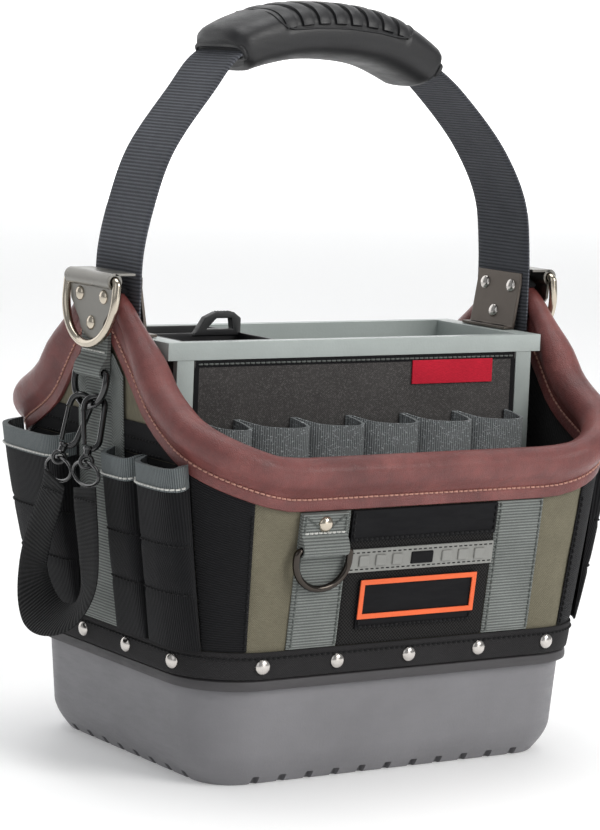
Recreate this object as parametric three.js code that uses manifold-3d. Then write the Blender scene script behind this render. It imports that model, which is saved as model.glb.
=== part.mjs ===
// Open top tool tote: a moulded tub under a fabric body with a rolled leather rim, a framed tray
// down the middle and a webbing handle. Millimetres, +Z up, the front faces -Y.
// The origin is the centre of the tub's flat underside.
import * as THREE from 'three';
import { mergeVertices } from 'three/addons/utils/BufferGeometryUtils.js';
import Module from 'manifold-3d';

const wasm = await Module();
wasm.setup();

// Clearances
const seat = 0.3;
const layerGap = 0.5;

// Fabric wall
const wall = 3;
const bodyHalfLength = 134.1;
const bodyHalfWidth = 104.6;
const bodyCorner = 40;
const sideLean = 0.058;
const frontLean = 0.131;

// Moulded tub
const tubHeight = 56.7;
const tubTopHalfLength = bodyHalfLength - 3.9;
const tubTopHalfWidth = bodyHalfWidth - 3.1;
const tubTopCorner = bodyCorner - 5.4;
const tubFootHalfLength = tubTopHalfLength - 14.3;
const tubFootHalfWidth = tubTopHalfWidth - 12;
const tubFootCorner = tubTopCorner - 12.5;
const tubShoulderHeight = 20;
const tubShoulderSpread = 0.78;
const tubWall = 4.5;
const tubFloor = 5;
const treadPitch = 18;
const treadWidth = 5;
const treadHeight = 5;
const treadDepth = 3;

// Flange between the tub and the fabric
const flangeHeight = 6.4;
const flangeOverhang = 4.4;
const flangeWidth = 8.6;

// Leather rim
const frontRimHeight = 178;
const humpRimHeight = frontRimHeight + 91;
const leather = 2;
const rollRadius = 10.5;
const humpRollRadius = 6.1;
const humpPinchHalf = 27;
const flapDrop = 19.5;
const slotTop = 1.5;
const slotSeat = 1;
const flapGap = 0.8;

// Band with rivets
const bandHeight = 15.5;
const bandThickness = 1.8;
const rivetRadius = 4.6;
const rivetRise = 2.6;
const rivetPitch = 49;
const rivetHeight = 7.6;

// Webbing and panels sewn on the wall
const webbing = 1.5;
const panelCloth = 1.0;
const frontWebInner = 50.5;
const frontWebOuter = 83.5;
const handleWidth = 50.8;
const cornerPanelFront = 12.7;
const cornerPanelStart = 95;
const sideBandHalf = 68;
const sideWebTop = humpRimHeight - 33;
const sideBandLow = frontRimHeight + 4;
const sideBandHigh = sideBandLow + 18;

// Labels on the front: heights and drops as shares of the slope from the band to the flap
const labelThickness = 1.2;
const upperLabelShare = 0.228;
const stripShare = 0.171;
const stripDropShare = 0.285;
const stripThickness = 1.8;
const framedLabelHalf = 40;
const framedLabelShare = 0.291;
const framedDropShare = 0.512;
const frameBar = 3.4;
const lowerLabelShare = 0.076;

// Pockets
const pocketCloth = 2;
const bindingHeight = 13;
const bindingCloth = 1.4;
const mouthDip = 3;

// Tray
const trayHalfLength = bodyHalfLength - 4.3;
const trayHalfWidth = 47.9;
const trayTop = humpRimHeight - 24.2;
const rimBar = 10;
const postWidth = 11;
const postDepth = 4.4;
const postOuter = trayHalfLength - 6.3;
const postInset = 0.6;
const panelInset = 1;
const basinRim = 7.3;
const basinEnd = 6.5;
const trayFoot = 42;
const basinDepth = 64;
const basinWall = 2;
const trayCloth = 2;
const loopWidth = 38;
const loopPitch = 38;
const loopDepth = 14.5;
const loopTop = trayTop - 44.3;
const loopSag = 4;
const loopCloth = 1.8;
const lastLoopEnd = trayHalfLength - 22.8;
const loopMargin = 10;

// Lift-out bin in the tray
const binLength = 62;
const binWall = 1.8;
const fingerLoopLength = 32;
const fingerLoopRise = 12;
const fingerLoopThick = 5;

// Handle
const strapThick = 2.7;
const strapFootHalf = bodyHalfLength + 1.7;
const gripLength = 150;
const gripTop = humpRimHeight + 167.5;
const gripHeight = 33;
const gripWidth = 58;

// Metal at the ends of the handle
const plateThick = 1.8;
const plateWidth = 50;
const plateDrop = 36;
const sleeveBore = 3;
const sleeveWall = 1.7;
const sleeveHeight = humpRimHeight + 8;
const ringWire = 2.5;
const ringHalfWidth = 28;
const ringDrop = 37;
const ringRestTilt = 5;
const plateRivetRadius = 4.2;
const plateRivetRise = 1.9;
const outerPlateRivets = [{ y: -13.5, drop: 9.5 }, { y: 13.5, drop: 9.5 }, { y: 0, drop: 25 }];
const innerPlateRivets = [{ y: -13, rise: 26 }, { y: 13, rise: 26 }, { y: 0, rise: 9.5 }];
const innerPlateToe = 8;
const innerPlateBend = 6;
const innerLean = 4.4;
const saddleHalf = 20;
const saddleThick = 2.4;
const innerPlateWidth = 43;
const innerPlateHeight = 34;

// Left end hardware
const hangRingWire = 2;
const hangRingHalf = 17.8;
const hangRingDrop = 20;
const hangTabWidth = 30;
const hangTabLength = 22.8;
const hangTabLap = 6.5;
const hangRestTilt = 6;
const hookLength = 31;
const hookHalf = 7.6;
const hookWire = 1.8;
const gateWire = 1.4;
const gateFoot = 2.6;
const smallRingWire = 1.1;
const smallRingHalf = 14.5;
const smallRingRise = 6.6;
const loopBand = 25;
const loopBandThick = 1.6;

// Front ring on its tab
const frontTabLeft = -84;
const frontTabWidth = 30;
const frontTabTop = frontRimHeight - flapDrop - 1;
const frontTabDrop = 20;
const frontRingWire = 2;
const frontRingHalf = 17.6;
const frontRingDrop = 22.5;

// Colours from the photograph
const finish = {
  tub: [0x828184, 0.55, 0],
  flange: [0x4e4c4f, 0.6, 0],
  band: [0x302e30, 0.85, 0],
  olive: [0x827e6a, 0.95, 0],
  leather: [0x825450, 0.45, 0],
  webbing: [0x808682, 0.9, 0],
  mesh: [0x282626, 0.95, 0],
  label: [0x2c2c2f, 0.5, 0],
  strip: [0x9e9e9a, 0.6, 0],
  orange: [0xf07846, 0.6, 0],
  frame: [0xbec6c0, 0.45, 0],
  trayCloth: [0x545250, 0.95, 0],
  loops: [0x6e7376, 0.95, 0],
  red: [0xde2d46, 0.7, 0],
  strap: [0x4b4d52, 0.9, 0],
  grip: [0x343436, 0.6, 0],
  steel: [0x96948e, 0.3, 1],
  gunmetal: [0x69625c, 0.4, 1],
  pocket: [0x262626, 0.95, 0],
  binding: [0x828c8e, 0.95, 0],
  gloss: [0x101012, 0.15, 0.3],
  blackStrap: [0x1c1c1c, 0.9, 0],
  bin: [0x202022, 0.5, 0],
};
const materials = {};
for (const [name, [color, roughness, metalness]] of Object.entries(finish)) {
  materials[name] = new THREE.MeshStandardMaterial({ color, roughness, metalness });
}

const tote = new THREE.Group();

function add(name, geometry, material, parent = tote) {
  const mesh = new THREE.Mesh(geometry, materials[material]);
  mesh.name = name;
  parent.add(mesh);
  return mesh;
}

// Geometry helpers
const vec = (x, y, z) => new THREE.Vector3(x, y, z);
const lerp = THREE.MathUtils.lerp;
const rad = THREE.MathUtils.degToRad;

// A closed body from points and triangles, turned so that its faces point out.
function body(points, triangles) {
  let volume = 0;
  for (const [a, b, c] of triangles) {
    volume += points[a].dot(points[b].clone().cross(points[c]));
  }
  const faces = volume < 0 ? triangles.map(([a, b, c]) => [a, c, b]) : triangles;
  const geometry = new THREE.BufferGeometry();
  geometry.setAttribute('position', new THREE.Float32BufferAttribute(points.flatMap((p) => p.toArray()), 3));
  geometry.setIndex(faces.flat());
  return geometry;
}

// A sheet between two grids of points, [column][row]; a wrapped one closes on itself.
function slab(outer, inner, wrap = false) {
  const columns = outer.length;
  const rows = outer[0].length;
  const points = [...outer.flat(), ...inner.flat()];
  const triangles = [];
  const out = (i, j) => (i % columns) * rows + j;
  const inn = (i, j) => columns * rows + out(i, j);
  const quad = (a, b, c, d) => triangles.push([a, b, c], [a, c, d]);
  const top = rows - 1;
  for (let i = 0; i < (wrap ? columns : columns - 1); i += 1) {
    for (let j = 0; j < top; j += 1) {
      quad(out(i, j), out(i + 1, j), out(i + 1, j + 1), out(i, j + 1));
      quad(inn(i, j), inn(i, j + 1), inn(i + 1, j + 1), inn(i + 1, j));
    }
    quad(out(i, 0), inn(i, 0), inn(i + 1, 0), out(i + 1, 0));
    quad(out(i, top), out(i + 1, top), inn(i + 1, top), inn(i, top));
  }
  if (!wrap) {
    const last = columns - 1;
    for (let j = 0; j < top; j += 1) {
      quad(out(0, j), out(0, j + 1), inn(0, j + 1), inn(0, j));
      quad(out(last, j), inn(last, j), inn(last, j + 1), out(last, j + 1));
    }
  }
  return body(points, triangles);
}

// A skin over a row of rings, closed end to end or capped with fans.
function skin(rings, loop = false) {
  const count = rings[0].length;
  const points = rings.flat();
  const triangles = [];
  const at = (i, j) => (i % rings.length) * count + (j % count);
  for (let i = 0; i < (loop ? rings.length : rings.length - 1); i += 1) {
    for (let j = 0; j < count; j += 1) {
      triangles.push([at(i, j), at(i + 1, j), at(i + 1, j + 1)], [at(i, j), at(i + 1, j + 1), at(i, j + 1)]);
    }
  }
  if (!loop) {
    for (const [row, flip] of [[0, true], [rings.length - 1, false]]) {
      const centre = rings[row].reduce((sum, p) => sum.add(p), vec(0, 0, 0)).divideScalar(count);
      const hub = points.push(centre) - 1;
      for (let j = 0; j < count; j += 1) {
        triangles.push(flip ? [hub, at(row, j), at(row, j + 1)] : [hub, at(row, j + 1), at(row, j)]);
      }
    }
  }
  return body(points, triangles);
}

// A round wire along a path in a plane.
function wire(path, normal, radius, sides = 6, loop = true) {
  const rings = path.map((point, i) => {
    const before = path[loop ? (i + path.length - 1) % path.length : Math.max(i - 1, 0)];
    const after = path[loop ? (i + 1) % path.length : Math.min(i + 1, path.length - 1)];
    const tangent = after.clone().sub(before).normalize();
    const side = tangent.clone().cross(normal).normalize();
    return Array.from({ length: sides }, (_, k) => {
      const turn = ((k + 0.5) / sides) * 2 * Math.PI;
      return point.clone().addScaledVector(side, radius * Math.cos(turn))
        .addScaledVector(normal, radius * Math.sin(turn));
    });
  });
  return skin(rings, loop);
}

// Points along an arc in the (u, v) plane.
function arc(centreU, centreV, radiusU, radiusV, fromDeg, toDeg, steps) {
  return Array.from({ length: steps + 1 }, (_, k) => {
    const turn = rad(lerp(fromDeg, toDeg, k / steps));
    return [centreU + radiusU * Math.cos(turn), centreV + radiusV * Math.sin(turn)];
  });
}

// A prism of an outline in (u, v), with holes, its thickness centred on the plane.
function prism(outline, thickness, holes = []) {
  const shape = new THREE.Shape(outline.map(([u, v]) => new THREE.Vector2(u, v)));
  for (const hole of holes) {
    shape.holes.push(new THREE.Path(hole.map(([u, v]) => new THREE.Vector2(u, v))));
  }
  const geometry = new THREE.ExtrudeGeometry(shape, { depth: thickness, bevelEnabled: false, curveSegments: 1 });
  return geometry.translate(0, 0, -thickness / 2);
}

// Basis changes for a prism: its outline in (Y, Z) facing X, or in (X, Z) facing Y.
const facingX = new THREE.Matrix4().makeBasis(vec(0, 1, 0), vec(0, 0, 1), vec(1, 0, 0));
const facingY = new THREE.Matrix4().makeBasis(vec(1, 0, 0), vec(0, 0, 1), vec(0, -1, 0));

function box(low, high) {
  const size = high.map((value, i) => value - low[i]);
  const geometry = new THREE.BoxGeometry(...size);
  return geometry.translate(low[0] + size[0] / 2, low[1] + size[1] / 2, low[2] + size[2] / 2);
}

// Joins and cuts
function solid(geometry) {
  const plain = geometry.clone();
  plain.deleteAttribute('normal');
  plain.deleteAttribute('uv');
  const merged = mergeVertices(plain, 1e-4);
  return new wasm.Manifold(new wasm.Mesh({
    numProp: 3,
    vertProperties: new Float32Array(merged.attributes.position.array),
    triVerts: new Uint32Array(merged.index.array),
  }));
}

function fromSolid(manifold) {
  const mesh = manifold.getMesh();
  const geometry = new THREE.BufferGeometry();
  geometry.setAttribute('position', new THREE.BufferAttribute(new Float32Array(mesh.vertProperties), 3));
  geometry.setIndex(Array.from(mesh.triVerts));
  return geometry;
}

const union = (...parts) => fromSolid(parts.map(solid).reduce((sum, part) => sum.add(part)));
const cut = (from, ...tools) => fromSolid(tools.map(solid).reduce((rest, tool) => rest.subtract(tool), solid(from)));

// A domed rivet head standing on a point along a direction.
function dome(centre, direction, radius, rise) {
  const sides = 7;
  const profile = [[0, -0.6], [radius, -0.6], [radius * 0.75, rise * 0.7], [0, rise]];
  const geometry = new THREE.LatheGeometry(profile.map(([r, h]) => new THREE.Vector2(r, h)), sides);
  const turn = new THREE.Quaternion().setFromUnitVectors(vec(0, 1, 0), direction);
  return geometry.applyQuaternion(turn).translate(centre.x, centre.y, centre.z);
}

// A value read from a table of rows by smooth steps between them.
function read(table, key, value, at) {
  const next = table.findIndex((row) => row[key] >= at);
  if (next === 0) {
    return table[0][value];
  }
  if (next < 0) {
    return table[table.length - 1][value];
  }
  const slope = (i) => {
    const a = table[Math.max(i - 1, 0)];
    const b = table[Math.min(i + 1, table.length - 1)];
    return (b[value] - a[value]) / (b[key] - a[key]);
  };
  const low = table[next - 1];
  const high = table[next];
  const span = high[key] - low[key];
  const t = (at - low[key]) / span;
  const flat = high[value] === low[value];
  const startSlope = flat ? 0 : slope(next - 1);
  const endSlope = flat ? 0 : slope(next);
  return low[value] * (2 * t ** 3 - 3 * t ** 2 + 1) + high[value] * (3 * t ** 2 - 2 * t ** 3)
    + span * (startSlope * (t ** 3 - 2 * t ** 2 + t) + endSlope * (t ** 3 - t ** 2));
}

// Base tub: rounded rectangles stacked in height.
function roundedRing(halfLength, halfWidth, corner, z, steps = 5) {
  const ring = [];
  for (const [sx, sy, start] of [[1, 1, 0], [-1, 1, 90], [-1, -1, 180], [1, -1, 270]]) {
    const centreX = sx * (halfLength - corner);
    const centreY = sy * (halfWidth - corner);
    for (const [x, y] of arc(centreX, centreY, corner, corner, start, start + 90, steps)) {
      ring.push(vec(x, y, z));
    }
  }
  return ring;
}

// The tub swells quickly from its foot to its shoulder, then runs straight to its top.
function tubRing(z, inset = 0) {
  const spread = z >= tubShoulderHeight
    ? lerp(tubShoulderSpread, 1, (z - tubShoulderHeight) / (tubHeight - tubShoulderHeight))
    : tubShoulderSpread * Math.sin((z / tubShoulderHeight) * (Math.PI / 2));
  return roundedRing(
    lerp(tubFootHalfLength, tubTopHalfLength, spread) - inset,
    lerp(tubFootHalfWidth, tubTopHalfWidth, spread) - inset,
    lerp(tubFootCorner, tubTopCorner, spread) - inset,
    z,
  );
}

function tubGeometry() {
  const outside = [0, treadHeight + 1, tubShoulderHeight, tubHeight];
  const inside = [tubHeight, tubShoulderHeight, tubFloor];
  const rings = [...outside.map((z) => tubRing(z)), ...inside.map((z) => tubRing(z, tubWall))];
  const notches = [];
  for (const [half, reach, alongX] of [
    [tubFootHalfLength, tubFootHalfWidth, true],
    [tubFootHalfWidth, tubFootHalfLength, false],
  ]) {
    const count = Math.floor((2 * (half - tubFootCorner)) / treadPitch);
    for (let k = 0; k <= count; k += 1) {
      const along = (k - count / 2) * treadPitch;
      for (const side of [-1, 1]) {
        const low = [along - treadWidth / 2, side > 0 ? reach - treadDepth : -reach - tubShoulderHeight];
        const high = [along + treadWidth / 2, side > 0 ? reach + tubShoulderHeight : -reach + treadDepth];
        notches.push(alongX
          ? box([low[0], low[1], -1], [high[0], high[1], treadHeight])
          : box([low[1], low[0], -1], [high[1], high[0], treadHeight]));
      }
    }
  }
  return cut(skin(rings), ...notches);
}

add('base_tub', tubGeometry(), 'tub');

const flangeBottom = tubHeight + seat;
const bodyBottom = flangeBottom + flangeHeight + seat;

function ringBand(outerHalfLength, outerHalfWidth, corner, width, low, high) {
  const outer = roundedRing(outerHalfLength, outerHalfWidth, corner, 0);
  const inner = roundedRing(outerHalfLength - width, outerHalfWidth - width, corner - width, 0);
  const lift = (ring) => ring.map((p) => [vec(p.x, p.y, low), vec(p.x, p.y, high)]);
  return slab(lift(outer), lift(inner), true);
}

add('base_flange', ringBand(
  tubTopHalfLength + flangeOverhang,
  tubTopHalfWidth + flangeOverhang,
  tubTopCorner + flangeOverhang,
  flangeWidth,
  flangeBottom,
  flangeBottom + flangeHeight,
), 'flange');

// The fabric wall. A place on it is a face, a distance along from the face's middle, a height and
// a distance off the outer face; past a corner the distance goes on round it.
const faces = {
  right: { normal: [1, 0], along: [0, 1] },
  back: { normal: [0, 1], along: [1, 0] },
  left: { normal: [-1, 0], along: [0, 1] },
  front: { normal: [0, -1], along: [1, 0] },
};
const cornerRun = bodyCorner * (Math.PI / 2);
const isSide = (face) => face === 'left' || face === 'right';

function reachAt(face, z) {
  const rise = z - bodyBottom;
  return isSide(face) ? bodyHalfLength + rise * sideLean : bodyHalfWidth + rise * frontLean;
}

const straightAt = (face, z) => reachAt(isSide(face) ? 'front' : 'right', z) - bodyCorner;

function onWall(face, along, z, off) {
  const { normal, along: run } = faces[face];
  const straight = straightAt(face, z);
  const past = Math.abs(along) - straight;
  let out = reachAt(face, z) + off;
  let side = along;
  if (past > 0) {
    const turn = Math.min(past / bodyCorner, Math.PI / 2);
    const sign = Math.sign(along);
    side = sign * (straight + (bodyCorner + off) * Math.sin(turn));
    out = reachAt(face, z) - bodyCorner + (bodyCorner + off) * Math.cos(turn);
    if (past > cornerRun) {
      out -= past - cornerRun;
      side = sign * (straight + bodyCorner + off);
    }
  }
  return vec(normal[0] * out + run[0] * side, normal[1] * out + run[1] * side, z);
}

// Rim line: the height over the front's as a share of the hump's, at shares of the way from the
// middle of a side to the end of the corner.
const rimTable = [
  { way: 0, height: 1 },
  { way: 0.085, height: 0.965 },
  { way: 0.18, height: 0.868 },
  { way: 0.287, height: 0.692 },
  { way: 0.35, height: 0.582 },
  { way: 0.42, height: 0.45 },
  { way: 0.504, height: 0.352 },
  { way: 0.686, height: 0.209 },
  { way: 0.875, height: 0.088 },
  { way: 1, height: 0.022 },
  { way: 1.1, height: 0 },
];
const sideStraight = straightAt('right', frontRimHeight);
const sideRun = sideStraight + cornerRun;

function rimHeight(face, along) {
  const way = isSide(face)
    ? Math.abs(along) / sideRun
    : 1 + Math.max(straightAt('front', frontRimHeight) - Math.abs(along), 0) / sideRun;
  return lerp(frontRimHeight, humpRimHeight, read(rimTable, 'way', 'height', way));
}

function rimRoll(face, along) {
  const away = isSide(face) ? Math.abs(along) : sideRun;
  const spread = THREE.MathUtils.smoothstep(away, humpPinchHalf, humpPinchHalf * 2);
  return lerp(humpRollRadius, rollRadius, spread);
}

// Stations round the wall, each by its face and its distance along at a height.
const sideSteps = [0, 10, 19, 27, 38, 50, 64];
const cornerSteps = 6;
const frontShares = [0.6, 0];

function stations() {
  const side = (face, order) => {
    const half = [
      ...sideSteps.map((along) => ({ face, share: along / sideStraight, turn: 0 })),
      ...Array.from({ length: cornerSteps + 1 }, (_, k) => ({ face, share: 1, turn: k / cornerSteps })),
    ];
    const far = half.slice(1).reverse().map((s) => ({ ...s, sign: -order }));
    return [...far, ...half.map((s) => ({ ...s, sign: order }))];
  };
  const straight = (face, order) => {
    const half = frontShares.map((share) => ({ face, share, turn: 0 }));
    return [
      ...half.map((s) => ({ ...s, sign: -order })),
      ...half.slice(0, -1).reverse().map((s) => ({ ...s, sign: order })),
    ];
  };
  return [...side('right', 1), ...straight('back', -1), ...side('left', -1), ...straight('front', 1)];
}

const stationAlong = ({ face, share, turn, sign }, z) => (
  sign * (share * straightAt(face, Math.min(z, frontRimHeight)) + turn * cornerRun)
);

// Where a station meets the rim, with the direction across the rim in the wall.
const rimStations = stations().map((station) => {
  const along = stationAlong(station, frontRimHeight);
  const step = 2;
  const gain = rimHeight(station.face, along + step) - rimHeight(station.face, along - step);
  const slope = gain / (2 * step);
  const length = Math.hypot(slope, 1);
  return {
    ...station,
    along,
    height: rimHeight(station.face, along),
    up: [-slope / length, 1 / length],
    roll: rimRoll(station.face, along),
  };
});

const acrossRim = (s, across, off) => (
  onWall(s.face, s.along + across * s.up[0], s.height + across * s.up[1], off)
);

function shellGeometry() {
  const rise = [0, 0.5];
  const face = (off) => rimStations.map((s) => [
    ...rise.map((share) => {
      const z = lerp(bodyBottom, frontRimHeight - flapDrop, share);
      return onWall(s.face, stationAlong(s, z), z, off);
    }),
    acrossRim(s, -flapDrop, off),
    acrossRim(s, -slotTop - slotSeat, off),
  ]);
  return slab(face(0), face(-wall), true);
}

add('body_shell', shellGeometry(), 'olive');

function trimGeometry() {
  const middle = -wall / 2;
  const rollArc = arc(0, 0, 1, 1, -50, 230, 6);
  return skin(rimStations.map((s) => {
    const outerFace = flapGap + leather;
    const neck = -s.roll * 1.12;
    const section = [
      [outerFace, -flapDrop],
      [outerFace, neck],
      ...rollArc.map(([u, v]) => [middle + u * s.roll, v * s.roll]),
      [-wall - outerFace, neck],
      [-wall - outerFace, -flapDrop],
      [-wall - flapGap, -flapDrop],
      [-wall - flapGap, -slotTop],
      [flapGap, -slotTop],
      [flapGap, -flapDrop],
    ];
    return section.map(([off, across]) => acrossRim(s, across, off));
  }), true);
}

add('rim_trim', trimGeometry(), 'leather');

// Band round the foot of the wall with its rivets in one body.
function bandGeometry() {
  const low = bodyBottom;
  const high = bodyBottom + bandHeight;
  const ends = stations().filter(({ share, turn }) => turn > 0 || share === 0 || share === 1);
  const face = (off) => ends.map((s) => (
    [low, high].map((z) => onWall(s.face, stationAlong(s, z), z, off))
  ));
  const parts = [slab(face(layerGap + bandThickness), face(layerGap), true)];
  const z = bodyBottom + rivetHeight;
  for (const face of Object.keys(faces)) {
    const count = Math.max(Math.round((2 * straightAt(face, z)) / rivetPitch), 1) + 1;
    for (let k = 0; k < count; k += 1) {
      const along = (k - (count - 1) / 2) * rivetPitch;
      const foot = onWall(face, along, z, layerGap + bandThickness);
      const direction = foot.clone().sub(onWall(face, along, z, 0)).normalize();
      parts.push(dome(foot, direction, rivetRadius, rivetRise));
    }
  }
  return union(...parts);
}

add('skirt_band', bandGeometry(), 'band');

// A sheet on the wall: place gives its distance along at a share and a height, low and high its
// edges at a place, offset its inner face at shares along and up.
function onWallSheet({ face, place, columns = 1, rows = 1, low, high, offset, thickness }) {
  const grid = (extra) => Array.from({ length: columns + 1 }, (_, i) => {
    const share = i / columns;
    const bottom = low(share);
    const top = high(share);
    return Array.from({ length: rows + 1 }, (__, j) => {
      const up = j / rows;
      const z = lerp(bottom, top, up);
      return onWall(face, place(share, z), z, offset(share, up) + extra);
    });
  });
  return slab(grid(thickness), grid(0));
}

const always = (value) => () => value;
const between = (from, to) => (share) => lerp(from, to, share);
const bandTop = bodyBottom + bandHeight + seat;
const flapLine = frontRimHeight - flapDrop - seat * 2;

// Lowest height of the flap's lower edge close to a place along a side.
const flapReach = 4;
const flapEdge = Object.fromEntries(Object.keys(faces).map((name) => [
  name,
  rimStations.filter(({ face }) => face === name).map(({ along, height, up }) => ({
    along: along - flapDrop * up[0],
    height: height - flapDrop * up[1],
  })).sort((a, b) => a.along - b.along),
]));

function flapBottom(face, along) {
  const near = [-flapReach, 0, flapReach];
  return Math.min(...near.map((step) => read(flapEdge[face], 'along', 'height', along + step)));
}

for (const [side, sign] of [['left', -1], ['right', 1]]) {
  add(`front_webbing_${side}`, onWallSheet({
    face: 'front',
    place: between(sign * frontWebInner, sign * frontWebOuter),
    low: always(bandTop),
    high: always(flapLine),
    offset: always(layerGap),
    thickness: webbing,
  }), 'webbing');
  add(`corner_panel_${side}`, onWallSheet({
    face: side,
    place: (share, z) => -lerp(cornerPanelStart, straightAt(side, z) + cornerRun - cornerPanelFront, share),
    columns: 6,
    low: always(bandTop),
    high: always(flapLine),
    offset: always(layerGap),
    thickness: panelCloth,
  }), 'pocket');
}
const labelHalf = frontWebInner - seat * 2;
add('front_panel', onWallSheet({
  face: 'front',
  place: between(-labelHalf, labelHalf),
  low: always(bandTop),
  high: always(flapLine),
  offset: always(layerGap),
  thickness: panelCloth,
}), 'mesh');

// Side bands, side webbing and pockets
const pocketBase = layerGap + panelCloth + seat + webbing + seat;

// A line in a plane moved sideways by a distance.
function shifted(line, distance) {
  return line.map(([a, b], i) => {
    const before = line[Math.max(i - 1, 0)];
    const after = line[Math.min(i + 1, line.length - 1)];
    const inward = [a - before[0], b - before[1]];
    const onward = [after[0] - a, after[1] - b];
    const unit = ([x, y]) => {
      const size = Math.hypot(x, y) || 1;
      return [x / size, y / size];
    };
    const [ix, iy] = i ? unit(inward) : unit(onward);
    const [ox, oy] = i < line.length - 1 ? unit(onward) : unit(inward);
    const [tx, ty] = unit([ix + ox, iy + oy]);
    const stretch = Math.min(1 / Math.max(tx * ox + ty * oy, 0.5), 1.5);
    return [a - ty * distance * stretch, b + tx * distance * stretch];
  });
}

// Across a pocket: shares of its width and of its depth.
const pocketTable = [
  { across: 0, out: 0 },
  { across: 0, out: 0.62 },
  { across: 0.1, out: 0.9 },
  { across: 0.28, out: 1 },
  { across: 0.72, out: 1 },
  { across: 0.9, out: 0.9 },
  { across: 1, out: 0.62 },
  { across: 1, out: 0 },
];

// Up a pocket: shares of its height and of its depth.
const pocketRise = [
  { up: 0, out: 0.16 },
  { up: 0.12, out: 0.3 },
  { up: 0.45, out: 0.62 },
  { up: 0.75, out: 0.86 },
  { up: 1, out: 1 },
];

// Pockets: ends as shares of the body's half width, height of the mouth over the front rim.
const pocketSizes = [
  { name: 'rear', from: 0.258, to: 0.927, above: 8, depth: 16 },
  { name: 'middle', from: -0.488, to: -0.172, above: 6, depth: 12.5 },
  { name: 'front', from: -0.889, to: -0.516, above: 6, depth: 11.5 },
];
const pockets = pocketSizes.map(({ name, from, to, above, depth }) => ({
  name,
  from: from * bodyHalfWidth,
  to: to * bodyHalfWidth,
  top: frontRimHeight + above,
  depth,
}));
function pocketSheet(face, pocket, low, high, rows, swell, thickness) {
  const full = pocket.top - bandTop;
  const columns = (depthAt, inset) => {
    const line = pocketTable.map(({ across, out }) => [
      lerp(pocket.from, pocket.to, across),
      pocketBase + out * depthAt,
    ]);
    return shifted(line, inset);
  };
  const grid = (inset) => {
    const levels = rows.map((up) => {
      const depth = pocket.depth * read(pocketRise, 'up', 'out', (lerp(low, high, up) - bandTop) / full);
      return { up, line: columns(depth, inset) };
    });
    return pocketTable.map(({ out }, i) => levels.map(({ up, line }) => {
      const z = lerp(low, high, up) - mouthDip * out * ((lerp(low, high, up) - bandTop) / full);
      const [along, off] = line[i];
      return onWall(face, along, z, Math.max(off, pocketBase));
    }));
  };
  return slab(grid(swell), grid(swell - thickness));
}

for (const face of ['left', 'right']) {
  add(`${face}_band`, onWallSheet({
    face,
    place: between(-sideBandHalf, sideBandHalf),
    columns: 12,
    low: always(sideBandLow),
    high: (share) => THREE.MathUtils.clamp(
      flapBottom(face, lerp(-sideBandHalf, sideBandHalf, share)) - seat * 2,
      sideBandLow + 1,
      sideBandHigh,
    ),
    offset: always(layerGap),
    thickness: panelCloth,
  }), 'pocket');
  add(`${face}_webbing`, onWallSheet({
    face,
    place: between(-handleWidth / 2, handleWidth / 2),
    columns: 6,
    low: always(bandTop),
    high: (share) => Math.min(sideWebTop, flapBottom(face, lerp(-0.5, 0.5, share) * handleWidth) - seat * 2),
    offset: always(layerGap + panelCloth + seat),
    thickness: webbing,
  }), 'webbing');
  for (const pocket of pockets) {
    const edge = pocket.top - bindingHeight;
    add(`${face}_pocket_${pocket.name}`, pocketSheet(
      face, pocket, bandTop, edge - seat, [0, 0.16, 0.5, 1], 0, pocketCloth,
    ), 'pocket');
    add(`${face}_binding_${pocket.name}`, pocketSheet(
      face, pocket, edge, pocket.top, [0, 1], bindingCloth / 3, pocketCloth + bindingCloth * 0.6,
    ), 'binding');
  }
}

// The front of the wall as a plane of its own: X along, Y up the slope, Z out of the wall.
const lean = Math.atan(frontLean);
const frontPlane = new THREE.Group();
frontPlane.position.copy(onWall('front', 0, bandTop, 0));
frontPlane.rotation.set(Math.PI / 2 + lean, 0, 0);
tote.add(frontPlane);
const upSlope = (z) => (z - bandTop) / Math.cos(lean);
const slopeTop = upSlope(flapLine);
const labelFoot = layerGap + panelCloth + seat;

// A flat plate on the front plane.
function plate(left, right, low, high, foot, thickness) {
  return box([left, low, foot], [right, high, foot + thickness]);
}

const upperLabelLow = slopeTop * (1 - upperLabelShare);
add('upper_label', plate(
  -labelHalf, labelHalf, upperLabelLow, slopeTop, labelFoot, labelThickness,
), 'label', frontPlane);

const stripTop = slopeTop * (1 - stripDropShare);
const stripHeight = slopeTop * stripShare;
const stripBlocks = [-3.5, -2.5, -1.5, 1.5, 2.5, 3.5].map((step) => {
  const middle = (step * labelHalf) / 4.4;
  const width = labelHalf * 0.13;
  return plate(
    middle - width / 2, middle + width / 2, stripTop - stripHeight * 0.74, stripTop - stripHeight * 0.26,
    labelFoot + stripThickness / 2, stripThickness,
  );
});
add('rubber_strip', union(
  plate(-labelHalf, labelHalf, stripTop - stripHeight, stripTop, labelFoot, stripThickness),
  ...stripBlocks,
), 'strip', frontPlane);

const frameTop = slopeTop * (1 - framedDropShare);
const frameLow = frameTop - slopeTop * framedLabelShare;
add('label_plate', plate(
  -framedLabelHalf, framedLabelHalf, frameLow - slopeTop * lowerLabelShare, frameTop, labelFoot, labelThickness,
), 'label', frontPlane);
const frameFoot = labelFoot + labelThickness + seat;
add('label_frame', cut(
  plate(-framedLabelHalf, framedLabelHalf, frameLow, frameTop, frameFoot, labelThickness),
  plate(
    -framedLabelHalf + frameBar, framedLabelHalf - frameBar,
    frameLow + frameBar, frameTop - frameBar, 0, frameFoot * 2,
  ),
), 'orange', frontPlane);

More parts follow.
